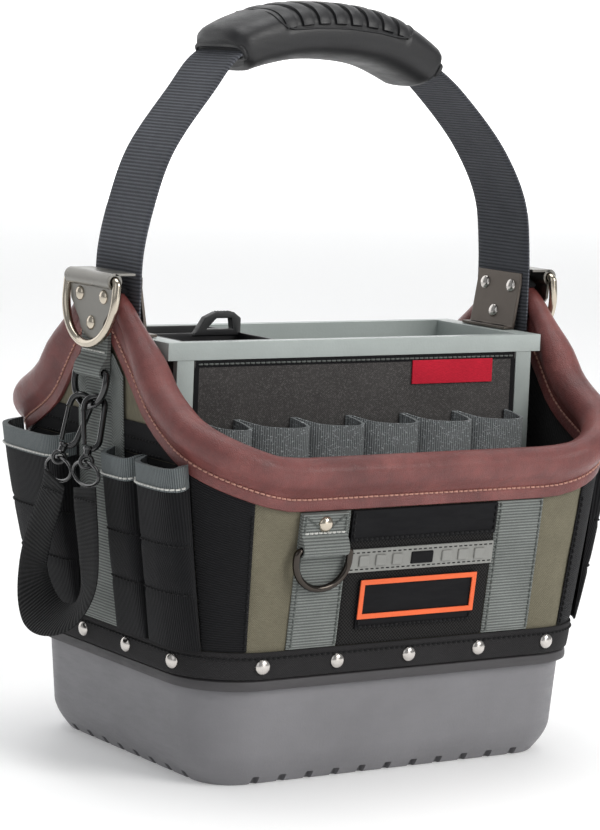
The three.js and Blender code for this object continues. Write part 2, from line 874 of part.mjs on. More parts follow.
// A webbing tab folded round a ring's bar, in (off, height): the eye's centre is the origin.
function tabOutline(eye, length, layers) {
  return [
    [-eye, length],
    [-eye, 0],
    ...arc(0, 0, eye, eye, 180, 360, 8).slice(1),
    [eye * 0.8, eye * 0.9],
    [-eye + layers, eye * 2.6],
    [-eye + layers, length],
  ];
}

// A ring's D in (u, v): its bar lies along u through the origin.
function dPath(half, drop, corner) {
  const shoulder = Math.max(corner, drop * 0.25);
  return [
    ...arc(half - corner, -corner, corner, corner, 90, 0, 2),
    ...arc(0, -shoulder, half, drop - shoulder, 0, -180, 10),
    ...arc(-half + corner, -corner, corner, corner, 180, 90, 2),
  ];
}

const eyeClearance = 0.4;
const tabCloth = 1.2;
const tabOut = (ringRadius) => ringRadius + eyeClearance + tabCloth;

const frontEye = tabOut(frontRingWire);
const frontTabFoot = layerGap + webbing + seat;
const frontBarHeight = upSlope(frontTabTop) - frontTabDrop;
const frontTab = prism(
  tabOutline(frontEye, slopeTop - frontBarHeight, tabCloth * 2),
  frontTabWidth,
  [arc(0, 0, frontRingWire + eyeClearance, frontRingWire + eyeClearance, 0, 330, 11)],
).applyMatrix4(new THREE.Matrix4().makeBasis(vec(0, 0, 1), vec(0, 1, 0), vec(-1, 0, 0)));
const ringGroup = new THREE.Group();
ringGroup.position.set(frontTabLeft + frontTabWidth / 2, frontBarHeight, frontTabFoot + frontEye);
frontPlane.add(ringGroup);
add('front_ring_tab', union(frontTab, dome(
  vec(0, frontTabDrop * 0.72, -frontEye + tabCloth * 2), vec(0, 0, 1), rivetRadius, rivetRise,
)), 'webbing', ringGroup);
add('front_d_ring', wire(
  dPath(frontRingHalf, frontRingDrop, frontRingWire * 1.5).map(([u, v]) => vec(u, v, 0)),
  vec(0, 0, 1), frontRingWire,
), 'gunmetal', ringGroup);

// Tray: rim, posts and basin in one moulding
const basinHalfLength = postOuter - basinEnd;
const basinHalfWidth = trayHalfWidth - basinRim;
const postFace = trayHalfWidth - postInset;

function trayFrameGeometry() {
  const rim = box(
    [-trayHalfLength, -trayHalfWidth, trayTop - rimBar],
    [trayHalfLength, trayHalfWidth, trayTop],
  );
  const basin = box(
    [-basinHalfLength - basinWall, -basinHalfWidth - basinWall, trayTop - basinDepth],
    [basinHalfLength + basinWall, basinHalfWidth + basinWall, trayTop - rimBar / 2],
  );
  const hollow = box(
    [-basinHalfLength, -basinHalfWidth, trayTop - basinDepth + basinWall],
    [basinHalfLength, basinHalfWidth, trayTop + 1],
  );
  const posts = [[1, 1], [1, -1], [-1, 1], [-1, -1]].map(([sx, sy]) => {
    const x = [sx * (postOuter - postWidth), sx * postOuter].sort((a, b) => a - b);
    const y = [sy * (postFace - postDepth), sy * postFace].sort((a, b) => a - b);
    return box([x[0], y[0], trayFoot], [x[1], y[1], trayTop - rimBar / 2]);
  });
  return cut(union(rim, basin, ...posts), hollow);
}

add('tray_frame', trayFrameGeometry(), 'frame');

const panelTop = trayTop - rimBar - seat;
const panelFace = trayHalfWidth - panelInset;
const panelHalf = postOuter - postWidth - seat;
for (const [name, sign] of [['front', -1], ['back', 1]]) {
  const y = [sign * panelFace, sign * (panelFace - trayCloth)].sort((a, b) => a - b);
  add(`tray_panel_${name}`, box([-panelHalf, y[0], trayFoot], [panelHalf, y[1], panelTop]), 'trayCloth');
}
const endHalf = postFace - postDepth - seat;
const endFace = postOuter - panelInset;
for (const [name, sign] of [['left', -1], ['right', 1]]) {
  const x = [sign * endFace, sign * (endFace - trayCloth)].sort((a, b) => a - b);
  add(`tray_panel_${name}`, box([x[0], -endHalf, trayFoot], [x[1], endHalf, panelTop]), 'trayCloth');
}

const redTab = {
  left: trayHalfLength - 93.3, right: trayHalfLength - 35.3, drop: 13.5, height: 14, cloth: 1,
};
add('red_tab', box(
  [redTab.left, -panelFace - seat - redTab.cloth, trayTop - redTab.drop - redTab.height],
  [redTab.right, -panelFace - seat, trayTop - redTab.drop],
), 'red');

// Folded webbing loops on the tray: shares of each loop's width and of the depth.
const loopTable = [
  { across: 0, out: 0 },
  { across: 0.1, out: 0.3 },
  { across: 0.3, out: 0.72 },
  { across: 0.6, out: 0.94 },
  { across: 0.88, out: 1 },
  { across: 1.04, out: 0.88 },
  { across: 1.06, out: 0.5 },
  { across: 1.0, out: 0 },
];

function toolLoopsGeometry() {
  const sewn = [];
  for (let x = lastLoopEnd; x > -panelHalf + loopMargin; x -= loopPitch) {
    sewn.unshift(x);
  }
  const line = [];
  sewn.forEach((end, i) => {
    const start = i ? sewn[i - 1] : -panelHalf + loopCloth;
    for (const { across, out } of loopTable) {
      const slip = (0.5 - Math.min(across, 1)) * loopCloth * 1.8 * (1 - out);
      line.push([lerp(start, end, across) + slip, out * loopDepth]);
    }
  });
  const foot = panelFace + seat + loopCloth / 2;
  const side = (distance) => shifted(line, distance).map(([x, out], i) => {
    const top = loopTop - loopSag * (line[i][1] / loopDepth);
    return [vec(x, -foot - out, top - loopWidth), vec(x, -foot - out, top)];
  });
  return slab(side(loopCloth / 2), side(-loopCloth / 2));
}

add('tool_loops', toolLoopsGeometry(), 'loops');

// Lift-out bin with a divider and a finger loop
function partsBinGeometry() {
  const left = -basinHalfLength + layerGap;
  const right = left + binLength;
  const half = basinHalfWidth - layerGap;
  const floor = trayTop - basinDepth + basinWall + seat;
  const outside = box([left, -half, floor], [right, half, trayTop]);
  const cells = [[-half + binWall, -binWall / 2], [binWall / 2, half - binWall]].map(([low, high]) => (
    box([left + binWall, low, floor + binWall], [right - binWall, high, trayTop + 1])
  ));
  const hand = right - fingerLoopLength;
  const outline = [
    [hand, -1.5],
    [hand + 3, 1.5],
    [hand + 8, fingerLoopRise * 0.75],
    [hand + 15, fingerLoopRise],
    [right - 5, fingerLoopRise],
    [right, fingerLoopRise * 0.7],
    [right, -1.5],
  ];
  const hole = [
    [hand + 9, 2.2],
    [right - 5.5, 2.2],
    [right - 6.5, fingerLoopRise - 3.6],
    [hand + 15.5, fingerLoopRise - 3.6],
  ];
  const handle = prism(outline, fingerLoopThick, [hole]).applyMatrix4(facingY).translate(0, 0, trayTop);
  return union(cut(outside, ...cells), handle);
}

add('parts_bin', partsBinGeometry(), 'bin');

// Handle: the strap's middle line in the plane y = 0, as shares of its half span and of its rise.
const strapFoot = trayTop - 4.8;
const gripMiddle = gripTop - gripHeight / 2;
const strapTable = [
  { across: -1, rise: 0 },
  { across: -1, rise: 0.15 },
  { across: -0.995, rise: 0.293 },
  { across: -0.948, rise: 0.45 },
  { across: -0.87, rise: 0.607 },
  { across: -0.686, rise: 0.798 },
  { across: -0.557, rise: 0.914 },
  { across: -0.31, rise: 0.985 },
  { across: -0.037, rise: 1 },
  { across: 0.23, rise: 0.972 },
  { across: 0.482, rise: 0.878 },
  { across: 0.63, rise: 0.789 },
  { across: 0.835, rise: 0.625 },
  { across: 0.96, rise: 0.457 },
  { across: 0.995, rise: 0.287 },
  { across: 1, rise: 0.15 },
  { across: 1, rise: 0 },
];
const strapCurve = new THREE.CatmullRomCurve3(strapTable.map(({ across, rise }) => (
  vec(across * strapFootHalf, 0, lerp(strapFoot, gripMiddle, rise))
)), false, 'centripetal');

function strapFrame(share) {
  const point = strapCurve.getPointAt(share);
  const tangent = strapCurve.getTangentAt(share);
  return { point, out: vec(-tangent.z, 0, tangent.x) };
}

function strapGeometry(from, to, steps, halfWidth, thickness) {
  const side = (distance) => Array.from({ length: steps + 1 }, (_, i) => {
    const { point, out } = strapFrame(lerp(from, to, i / steps));
    const middle = point.clone().addScaledVector(out, distance);
    return [-halfWidth, halfWidth].map((y) => middle.clone().setY(y));
  });
  return slab(side(thickness / 2), side(-thickness / 2));
}

add('handle_strap', strapGeometry(0, 1, 36, handleWidth / 2, strapThick), 'strap');

const strapLength = strapCurve.getLength();
const gripStart = 0.5 - gripLength / 2 / strapLength + 0.004;
const gripEnd = gripStart + gripLength / strapLength;

// Grip section as shares of its half width and half height, and its size along the grip.
const gripSection = [
  [1, -0.35], [1, 0.3], [0.82, 0.75], [0.45, 0.97], [0, 1.04], [-0.45, 0.97], [-0.82, 0.75], [-1, 0.3],
  [-1, -0.35], [-0.86, -0.82], [-0.5, -1], [0, -1], [0.5, -1], [0.86, -0.82],
];
const gripTable = [
  { along: 0, size: 0.8 },
  { along: 0.03, size: 0.86 },
  { along: 0.2, size: 0.95 },
  { along: 0.5, size: 1 },
  { along: 0.8, size: 0.95 },
  { along: 0.97, size: 0.86 },
  { along: 1, size: 0.8 },
];

function gripGeometry() {
  const steps = 12;
  const rings = Array.from({ length: steps + 1 }, (_, i) => {
    const along = i / steps;
    const { point, out } = strapFrame(lerp(gripStart, gripEnd, along));
    const size = read(gripTable, 'along', 'size', along);
    return gripSection.map(([u, v]) => (
      point.clone().addScaledVector(out, (v * gripHeight * size) / 2).setY((u * gripWidth * (1 + size)) / 4)
    ));
  });
  const slot = strapGeometry(
    gripStart - 0.01, gripEnd + 0.01, 14, handleWidth / 2 + layerGap, strapThick + layerGap * 2,
  );
  return cut(skin(rings), slot);
}

add('handle_grip', gripGeometry(), 'grip');

// Metal at each end, built for the right end and mirrored for the left
function mirrored(geometry) {
  const copy = geometry.clone().scale(-1, 1, 1);
  const count = copy.attributes.position.count;
  const index = copy.index ? [...copy.index.array] : Array.from({ length: count }, (_, i) => i);
  for (let i = 0; i < index.length; i += 3) {
    [index[i + 1], index[i + 2]] = [index[i + 2], index[i + 1]];
  }
  copy.setIndex(index);
  return copy;
}

const humpReach = reachAt('right', humpRimHeight) - wall / 2;
const plateIn = humpReach + humpRollRadius + seat;
const sleeveX = plateIn + plateThick * 0.8;
const sleeveOuter = sleeveBore + sleeveWall;
const plateBottom = sleeveHeight - plateDrop + 2;
const strapInner = strapFootHalf - strapThick / 2;
const strapOuter = strapFootHalf + strapThick / 2;

function outerPlateGeometry() {
  const half = plateWidth / 2;
  const tip = plateWidth * 0.24;
  const shield = prism([
    [half, sleeveHeight - sleeveBore - 0.6],
    [-half, sleeveHeight - sleeveBore - 0.6],
    [-half, sleeveHeight - plateDrop * 0.3],
    ...arc(0, plateBottom + tip, tip, tip, 200, 340, 7),
    [half, sleeveHeight - plateDrop * 0.3],
  ], plateThick).applyMatrix4(facingX).translate(plateIn + plateThick / 2, 0, 0);
  const round = (radius, turns) => arc(0, 0, radius, radius, 0, 360 - 360 / turns, turns - 1);
  const sleeve = prism(round(sleeveOuter, 16), plateWidth, [round(sleeveBore, 16)])
    .applyMatrix4(facingY).translate(sleeveX, 0, sleeveHeight);
  const flange = box(
    [strapOuter + leather, -half, sleeveHeight + sleeveOuter - sleeveWall * 0.95],
    [sleeveX, half, sleeveHeight + sleeveOuter - 0.02],
  );
  const face = plateIn + plateThick;
  const rivets = outerPlateRivets.map(({ y, drop }) => (
    dome(vec(face, y, sleeveHeight - drop), vec(1, 0, 0), plateRivetRadius, plateRivetRise)
  ));
  return union(shield, sleeve, flange, ...rivets);
}

function dRingGeometry() {
  const tilt = rad(ringRestTilt);
  const path = dPath(ringHalfWidth, ringDrop, ringWire * 1.2).map(([u, v]) => (
    vec(sleeveX - v * Math.sin(tilt), u, sleeveHeight + v * Math.cos(tilt))
  ));
  return wire(path, vec(Math.cos(tilt), 0, Math.sin(tilt)), ringWire);
}

function saddlePadGeometry() {
  const near = rimStations.filter((s) => s.face === 'right' && Math.abs(s.along) < saddleHalf);
  const grid = (extra) => near.map((s) => (
    arc(0, 0, 1, 1, 74, 132, 4).map(([u, v]) => {
      const radius = s.roll + extra;
      return acrossRim(s, v * radius, u * radius - wall / 2);
    })
  ));
  return slab(grid(layerGap + saddleThick), grid(layerGap));
}

const innerFoot = trayTop + seat;
const innerTop = innerFoot + innerPlateHeight;

function innerPlateGeometry() {
  const high = strapInner - seat;
  const low = high - innerLean;
  const profile = prism([
    [low - innerPlateToe, innerFoot],
    [low, innerFoot],
    [high, innerTop - innerPlateBend],
    [high, innerTop],
    [high - plateThick, innerTop],
    [high - plateThick, innerTop - innerPlateBend],
    [low - plateThick, innerFoot + plateThick],
    [low - innerPlateToe, innerFoot + plateThick],
  ], innerPlateWidth).applyMatrix4(facingY);
  const leanAt = (z) => lerp(low, high, (z - innerFoot) / (innerPlateHeight - innerPlateBend)) - plateThick;
  const inward = vec(-innerPlateHeight, 0, innerLean).normalize();
  const rivets = innerPlateRivets.map(({ y, rise }) => (
    dome(vec(leanAt(innerFoot + rise), y, innerFoot + rise), inward, plateRivetRadius, plateRivetRise)
  ));
  return union(profile, ...rivets);
}

for (const [side, turn] of [['right', (g) => g], ['left', mirrored]]) {
  add(`${side}_outer_plate`, turn(outerPlateGeometry()), 'steel');
  add(`${side}_d_ring`, turn(dRingGeometry()), 'steel');
  add(`${side}_saddle_pad`, turn(saddlePadGeometry()), 'band');
  add(`${side}_inner_plate`, turn(innerPlateGeometry()), 'gunmetal');
}

// Hardware hanging at the left end
const hangEye = tabOut(hangRingWire);
const hangFoot = reachAt('left', sideWebTop) + pocketBase;
const hangTop = sleeveHeight - plateDrop + hangTabLap;
const hangX = -hangFoot - hangEye;
const hangBarHeight = hangTop - hangTabLength;
add('hang_tab', prism(
  tabOutline(hangEye, hangTabLength, tabCloth * 2),
  hangTabWidth,
  [arc(0, 0, hangRingWire + eyeClearance, hangRingWire + eyeClearance, 0, 330, 11)],
).applyMatrix4(new THREE.Matrix4().makeBasis(vec(-1, 0, 0), vec(0, 0, 1), vec(0, 1, 0)))
  .translate(hangX, 0, hangBarHeight), 'webbing');

const hangTilt = rad(hangRestTilt);
add('hang_ring', wire(
  dPath(hangRingHalf, hangRingDrop, hangRingWire * 1.5).map(([u, v]) => (
    vec(hangX + v * Math.sin(hangTilt), u, hangBarHeight + v * Math.cos(hangTilt))
  )),
  vec(-Math.cos(hangTilt), 0, Math.sin(hangTilt)), hangRingWire,
), 'gloss');

// Snap hooks: u lies across the hook and v runs down it from the top of its bow.
const bowDrop = hookHalf - hookWire;
const hooks = [
  { name: 'rear', top: [1.2, 5.5], foot: [-10.6, 12] },
  { name: 'front', top: [1.2, -7.5], foot: [-10.6, -18] },
];
const hookFacing = vec(-0.82, 0.57, 0);
const noseDrop = 9;
const barrelStart = hookLength - 1;
const barrelEnd = hookLength + 4;
const eyeRadius = 3.4;
const eyeWire = 1.2;
const eyeMiddle = barrelEnd + eyeRadius;

// Distance down the hanging ring's bow from its bar, at a place across it.
function bowAt(y) {
  const shoulder = hangRingDrop * 0.25;
  return shoulder + (hangRingDrop - shoulder) * Math.sqrt(1 - (y / hangRingHalf) ** 2);
}

const loopEnds = [];

for (const { name, top, foot } of hooks) {
  const bow = bowAt(top[1]);
  const bowTop = hangBarHeight - bow * Math.cos(hangTilt) + hangRingWire + hookWire + flapGap;
  const start = vec(hangX - bow * Math.sin(hangTilt) + top[0], top[1], bowTop);
  const end = vec(start.x + foot[0], foot[1], bowTop - hookLength - 2.5);
  const down = end.clone().sub(start).normalize();
  const across = hookFacing.clone().addScaledVector(down, -hookFacing.dot(down)).normalize();
  const normal = across.clone().cross(down).normalize();
  const place = ([u, v]) => start.clone().addScaledVector(across, u).addScaledVector(down, v);
  const frame = wire([
    [bowDrop, noseDrop],
    ...arc(0, bowDrop, bowDrop, bowDrop, 0, -180, 5),
    [-bowDrop, hookLength * 0.72],
    ...arc(0, hookLength * 0.8, bowDrop, hookLength * 0.2, 170, 90, 3),
  ].map(place), normal, hookWire, 6, false);
  const barrel = wire([[0, barrelStart], [0, barrelEnd]].map(place), normal, hookWire * 1.6, 6, false);
  const eye = wire(arc(0, eyeMiddle, eyeRadius, eyeRadius, 0, 320, 8).map(place), normal, eyeWire);
  add(`snap_hook_${name}`, union(frame, barrel, eye), 'gloss');
  const gate = [[bowDrop, noseDrop + seat * 1.4], [gateFoot, barrelStart - gateWire]].map(place);
  add(`snap_gate_${name}`, wire(gate, normal, gateWire, 6, false), 'gloss');
  const hang = place([0, eyeMiddle]);
  const ringMiddle = hang.clone().add(vec(0, 0, -smallRingRise));
  loopEnds.push(ringMiddle);
  add(`small_ring_${name}`, wire(
    arc(0, 0, smallRingHalf, smallRingRise, 0, 337.5, 15).map(([u, v]) => (
      ringMiddle.clone().add(vec(0, u, v))
    )),
    vec(-1, 0, 0), smallRingWire,
  ), 'gloss');
}

// The hanging loop of webbing: its middle line by its drop under the ring's bar, how far it
// swings out and how far it is turned.
const loopBandTable = [
  { y: 13, drop: 62.7, out: 0, turn: 0 },
  { y: 17, drop: 74.7, out: 0, turn: 0 },
  { y: 30, drop: 94.7, out: 0.1, turn: 8 },
  { y: 39, drop: 114.7, out: 0.4, turn: 25 },
  { y: 33, drop: 132.7, out: 1, turn: 62 },
  { y: 14, drop: 141.7, out: 1.1, turn: 88 },
  { y: -8, drop: 141.7, out: 1.1, turn: 88 },
  { y: -28, drop: 132.7, out: 1, turn: 62 },
  { y: -36, drop: 114.7, out: 0.5, turn: 25 },
  { y: -32, drop: 94.7, out: 0.2, turn: 8 },
  { y: -25, drop: 74.7, out: 0, turn: 0 },
  { y: -22, drop: 62.7, out: 0, turn: 0 },
];
const loopSwing = 9;

function strapLoopGeometry() {
  const hung = loopEnds[0].x - smallRingWire - seat - loopBandThick / 2;
  const curve = new THREE.CatmullRomCurve3(
    loopBandTable.map(({ y, drop, out }) => vec(hung - out * loopSwing, y, hangBarHeight - drop)),
    false, 'centripetal',
  );
  const steps = 28;
  const stations = Array.from({ length: steps + 1 }, (_, i) => {
    const t = i / steps;
    const row = t * (loopBandTable.length - 1);
    const low = loopBandTable[Math.floor(row)];
    const high = loopBandTable[Math.min(Math.floor(row) + 1, loopBandTable.length - 1)];
    const turn = rad(lerp(low.turn, high.turn, row - Math.floor(row)));
    const tangent = curve.getTangent(t);
    const level = tangent.clone().cross(vec(1, 0, 0)).normalize();
    const width = level.clone().multiplyScalar(Math.cos(turn))
      .addScaledVector(vec(1, 0, 0), Math.sin(turn)).normalize();
    const face = width.clone().cross(tangent).normalize();
    return { point: curve.getPoint(t), width, face };
  });
  const side = (distance) => stations.map(({ point, width, face }) => [-1, 1].map((half) => (
    point.clone().addScaledVector(width, (half * loopBand) / 2).addScaledVector(face, distance)
  )));
  return slab(side(loopBandThick / 2), side(-loopBandThick / 2));
}

add('strap_loop', strapLoopGeometry(), 'blackStrap');

export default tote;
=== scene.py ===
"""Looks of an open top tool tote: moulded tub, fabric body, rolled leather rim, tray and webbing handle."""
import math

import bmesh
import bpy
import numpy as np
from mathutils import Matrix, Vector


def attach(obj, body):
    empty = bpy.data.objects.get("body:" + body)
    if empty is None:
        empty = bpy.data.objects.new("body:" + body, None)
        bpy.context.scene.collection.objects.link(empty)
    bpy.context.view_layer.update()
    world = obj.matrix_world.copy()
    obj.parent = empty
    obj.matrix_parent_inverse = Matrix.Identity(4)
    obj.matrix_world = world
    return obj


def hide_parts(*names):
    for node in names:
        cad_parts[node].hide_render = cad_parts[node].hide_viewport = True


bl_info = {
    "name": "Open Top Tool Tote",
    "version": (1, 0, 0),
    "blender": (4, 5, 0),
    "location": "View3D > Sidebar > Tote",
    "description": "Builds the cloth, leather, moulded and metal pieces of a tool tote on its frame",
    "category": "Add Mesh",
}

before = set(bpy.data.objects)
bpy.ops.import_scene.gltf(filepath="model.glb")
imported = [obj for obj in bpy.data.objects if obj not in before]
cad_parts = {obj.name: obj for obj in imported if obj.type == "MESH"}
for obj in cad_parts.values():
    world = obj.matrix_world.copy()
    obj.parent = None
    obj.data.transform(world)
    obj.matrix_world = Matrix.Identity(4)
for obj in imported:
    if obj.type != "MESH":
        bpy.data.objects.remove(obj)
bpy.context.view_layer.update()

# Lengths in this table and in the shape functions are millimetres; meshes are made in metres.
MM = 0.001
SEAT = 0.3
LAYER = 0.5
BODY_LOW = 63.7
BAND_TOP = 79.5
FLAP_LINE = 157.9
FRONT_RIM = 178.0
HUMP_RIM = 269.0
WALL = 3.0
CORNER = 40.0
CORNER_RUN = CORNER * math.pi / 2
FLAP_DROP = 19.5
FLAP_GAP = 0.8
SIDE_HALF = 92
FRONT_HALF = 49.9
LABEL_HALF = 40
WIDE_HALF = 25.4
STITCH = 3.4
THREAD = 1.125
RIVET_PITCH = 49
RIVET_LEVEL = 71.3
TAB_EYE = 3.6
TAB_HOLE = 2.4
TAB_LAYERS = 2.4

# How far each wall runs outwards for each millimetre of rise.
FRONT_LEAN = 0.131
SIDE_LEAN = 0.058


def linear(red, green, blue):
    """A display colour of 0 to 255 as scene values."""
    values = []
    for part in (red, green, blue):
        share = part / 255
        values.append(share / 12.92 if share <= 0.04045 else ((share + 0.055) / 1.055) ** 2.4)
    return tuple(values)


def lerp(a, b, share):
    return a + (b - a) * share


def read(table, at):
    """A value from rows of (place, value), by smooth steps between them."""
    if at <= table[0][0]:
        return table[0][1]
    if at >= table[-1][0]:
        return table[-1][1]
    after = next(i for i, row in enumerate(table) if row[0] >= at)

    def slope(i):
        a, b = table[max(i - 1, 0)], table[min(i + 1, len(table) - 1)]
        return (b[1] - a[1]) / (b[0] - a[0])

    low, high = table[after - 1], table[after]
    run = high[0] - low[0]
    t = (at - low[0]) / run
    return (
        (2 * t**3 - 3 * t**2 + 1) * low[1]
        + (t**3 - 2 * t**2 + t) * run * slope(after - 1)
        + (3 * t**2 - 2 * t**3) * high[1]
        + (t**3 - t**2) * run * slope(after)
    )


def arc(u, v, radius_u, radius_v, start, end, steps):
    turns = [math.radians(lerp(start, end, i / steps)) for i in range(steps + 1)]
    return [(u + radius_u * math.cos(t), v + radius_v * math.sin(t)) for t in turns]


# The wall: a face, a distance along it from its middle, a height and a distance off its outside.
FACES = {
    "right": ((1, 0), (0, 1)),
    "back": ((0, 1), (1, 0)),
    "left": ((-1, 0), (0, 1)),
    "front": ((0, -1), (1, 0)),
}


def is_side(face):
    return face in ("left", "right")


def reach_at(face, z):
    rise = z - BODY_LOW
    return 134.1 + rise * SIDE_LEAN if is_side(face) else 104.6 + rise * FRONT_LEAN


def straight_at(face, z):
    return reach_at("front" if is_side(face) else "right", z) - CORNER


def on_wall(face, along, z, off):
    normal, run = FACES[face]
    straight = straight_at(face, z)
    past = abs(along) - straight
    out, side = reach_at(face, z) + off, along
    if past > 0:
        turn = min(past / CORNER, math.pi / 2)
        sign = math.copysign(1, along)
        side = sign * (straight + (CORNER + off) * math.sin(turn))
        out = reach_at(face, z) - CORNER + (CORNER + off) * math.cos(turn)
        if past > CORNER_RUN:
            out -= past - CORNER_RUN
            side = sign * (straight + CORNER + off)
    return Vector((normal[0] * out + run[0] * side, normal[1] * out + run[1] * side, z))


def wall_facing(face, along, z):
    return (on_wall(face, along, z, 1) - on_wall(face, along, z, 0)).normalized()


SIDE_STRAIGHT = straight_at("right", FRONT_RIM)
SIDE_RUN = SIDE_STRAIGHT + CORNER_RUN
RIM_RISE = [
    (0, 1), (0.085, 0.965), (0.18, 0.868), (0.287, 0.692), (0.35, 0.582), (0.42, 0.45),
    (0.504, 0.352), (0.686, 0.209), (0.875, 0.088), (1, 0.022), (1.1, 0),
]


def rim_height(face, along):
    if is_side(face):
        way = abs(along) / SIDE_RUN
    else:
        way = 1 + max(straight_at("front", FRONT_RIM) - abs(along), 0) / SIDE_RUN
    return lerp(FRONT_RIM, HUMP_RIM, read(RIM_RISE, way))


def rim_roll(face, along):
    away = abs(along) if is_side(face) else SIDE_RUN
    t = min(max((away - 27) / 27, 0), 1)
    return lerp(6.1, 10.5, t * t * (3 - 2 * t))


def stations():
    """Places round the wall: face, share of the straight run, share of the corner's turn, sign."""
    def side(face, order):
        half = [(i / 16, 0) for i in range(17)] + [(1, i / 14) for i in range(1, 15)]
        far = [(face, s, t, -order) for s, t in reversed(half[1:])]
        return far + [(face, s, t, order) for s, t in half]

    def straight(face, order):
        half = [(i / 10, 0) for i in range(9, -1, -1)]
        far = [(face, s, t, order) for s, t in reversed(half[:-1])]
        return [(face, s, t, -order) for s, t in half] + far

    return side("right", 1) + straight("back", -1) + side("left", -1) + straight("front", 1)


def station_along(station, z):
    face, share, turn, sign = station
    return sign * (share * straight_at(face, min(z, FRONT_RIM)) + turn * CORNER_RUN)


def rim_station(station):
    """Face, distance along, height, direction across the rim and the roll's radius."""
    face = station[0]
    along = station_along(station, FRONT_RIM)
    slope = (rim_height(face, along + 2) - rim_height(face, along - 2)) / 4
    size = math.hypot(slope, 1)
    return face, along, rim_height(face, along), (-slope / size, 1 / size), rim_roll(face, along)


RIM = [rim_station(s) for s in stations()]


def across_rim(place, across, off):
    face, along, height, up, _ = place
    return on_wall(face, along + across * up[0], height + across * up[1], off)


def flap_edge(face, along):
    """Height of the flap's lower edge at a place along a face."""
    near = sorted(
        (s[1] - FLAP_DROP * s[3][0], s[2] - FLAP_DROP * s[3][1]) for s in RIM if s[0] == face
    )
    return float(np.interp(along, [n[0] for n in near], [n[1] for n in near]))


# The front of the wall as a plane of its own: along, up the slope and out.
LEAN = math.atan(FRONT_LEAN)
FRONT_FOOT = on_wall("front", 0, BAND_TOP, 0)
FRONT_UP = Vector((0, -math.sin(LEAN), math.cos(LEAN)))
FRONT_OUT = Vector((0, -math.cos(LEAN), -math.sin(LEAN)))


def on_front(x, up, out):
    return FRONT_FOOT + Vector((x, 0, 0)) + FRONT_UP * up + FRONT_OUT * out


def up_slope(z):
    return (z - BAND_TOP) / math.cos(LEAN)


# Meshes
def added(name, data):
    """A new object with its data, in the scene."""
    thing = bpy.data.objects.new(name, data)
    bpy.context.scene.collection.objects.link(thing)
    return thing


def shade_smooth(mesh):
    mesh.polygons.foreach_set("use_smooth", [True] * len(mesh.polygons))


def piece(name, points, faces, material, uvs, more=()):
    """A mesh object at the origin; its points and the uvs of its face corners are millimetres."""
    mesh = bpy.data.meshes.new(name)
    mesh.from_pydata([tuple(Vector(p) * MM) for p in points], [], faces)
    layer = mesh.uv_layers.new(name="UVMap")
    layer.data.foreach_set("uv", np.array(uvs, np.float32).ravel() * MM)
    for item in (material, *more):
        mesh.materials.append(item)
    shade_smooth(mesh)
    mesh.update()
    return added(name, mesh)


def outward(thing):
    """Turns a closed mesh's faces outwards."""
    work = bmesh.new()
    work.from_mesh(thing.data)
    bmesh.ops.recalc_face_normals(work, faces=work.faces)
    work.to_mesh(thing.data)
    work.free()
    return thing


def baked(thing):
    """The object with its modifiers turned into its own plain mesh."""
    graph = bpy.context.evaluated_depsgraph_get()
    mesh = bpy.data.meshes.new_from_object(thing.evaluated_get(graph))
    thing.modifiers.clear()
    old = thing.data
    thing.data = mesh
    if old.users == 0:
        bpy.data.meshes.remove(old)
    mesh.name = thing.name
    return thing


def rounded(thing, width, segments=2):
    """Rounds the edges sharper than 30 degrees by a width in millimetres."""
    bevel = thing.modifiers.new("round", "BEVEL")
    bevel.width = width * MM
    bevel.segments = segments
    bevel.limit_method = "ANGLE"
    bevel.angle_limit = math.radians(30)
    bevel.harden_normals = True
    return baked(thing)


def zoned(thing, low, high, material):
    """Gives the faces between two heights a material of their own."""
    thing.data.materials.append(material)
    for face in thing.data.polygons:
        if low * MM < face.center.z < high * MM:
            face.material_index = len(thing.data.materials) - 1
    return thing


def runs(points):
    """Distance along a line of points, from its first."""
    total = [0.0]
    for a, b in zip(points, points[1:]):
        total.append(total[-1] + (Vector(b) - Vector(a)).length)
    return total


def sheet(name, outer, inner, material, wrap=False, lining=None):
    """A closed sheet between two grids of points, by column and row. Its pattern runs along u
    across the columns and along v up the rows."""
    columns, rows = len(outer), len(outer[0])
    points = [p for column in outer for p in column] + [p for column in inner for p in column]
    middle = rows // 2
    along = runs([c[middle] for c in outer] + ([outer[0][middle]] if wrap else []))
    rise = runs(outer[columns // 2])
    span = columns if wrap else columns - 1
    offset = columns * rows
    faces, uvs, slots = [], [], []

    def index(i, j, layer):
        return (i % columns) * rows + j + layer * offset

    def quad(corners, places, slot=0):
        faces.append(corners)
        uvs.extend((along[i], rise[j]) for i, j in places)
        slots.append(slot)

    for i in range(span):
        for j in range(rows - 1):
            places = [(i, j), (i + 1, j), (i + 1, j + 1), (i, j + 1)]
            quad([index(a, b, 0) for a, b in places], places)
            back = places[::-1]
            quad([index(a, b, 1) for a, b in back], back, 1 if lining else 0)
        for j, flip in ((0, False), (rows - 1, True)):
            a, b = ((i, j), (i + 1, j)) if not flip else ((i + 1, j), (i, j))
            quad([index(*a, 1), index(*b, 1), index(*b, 0), index(*a, 0)], [a, b, b, a])
    if not wrap:
        for i, flip in ((0, True), (columns - 1, False)):
            for j in range(rows - 1):
                a, b = ((i, j), (i, j + 1)) if not flip else ((i, j + 1), (i, j))
                quad([index(*b, 1), index(*b, 0), index(*a, 0), index(*a, 1)], [b, b, a, a])
    thing = piece(name, points, faces, material, uvs, more=(lining,) if lining else ())
    thing.data.polygons.foreach_set("material_index", slots)
    return outward(sharp(thing))


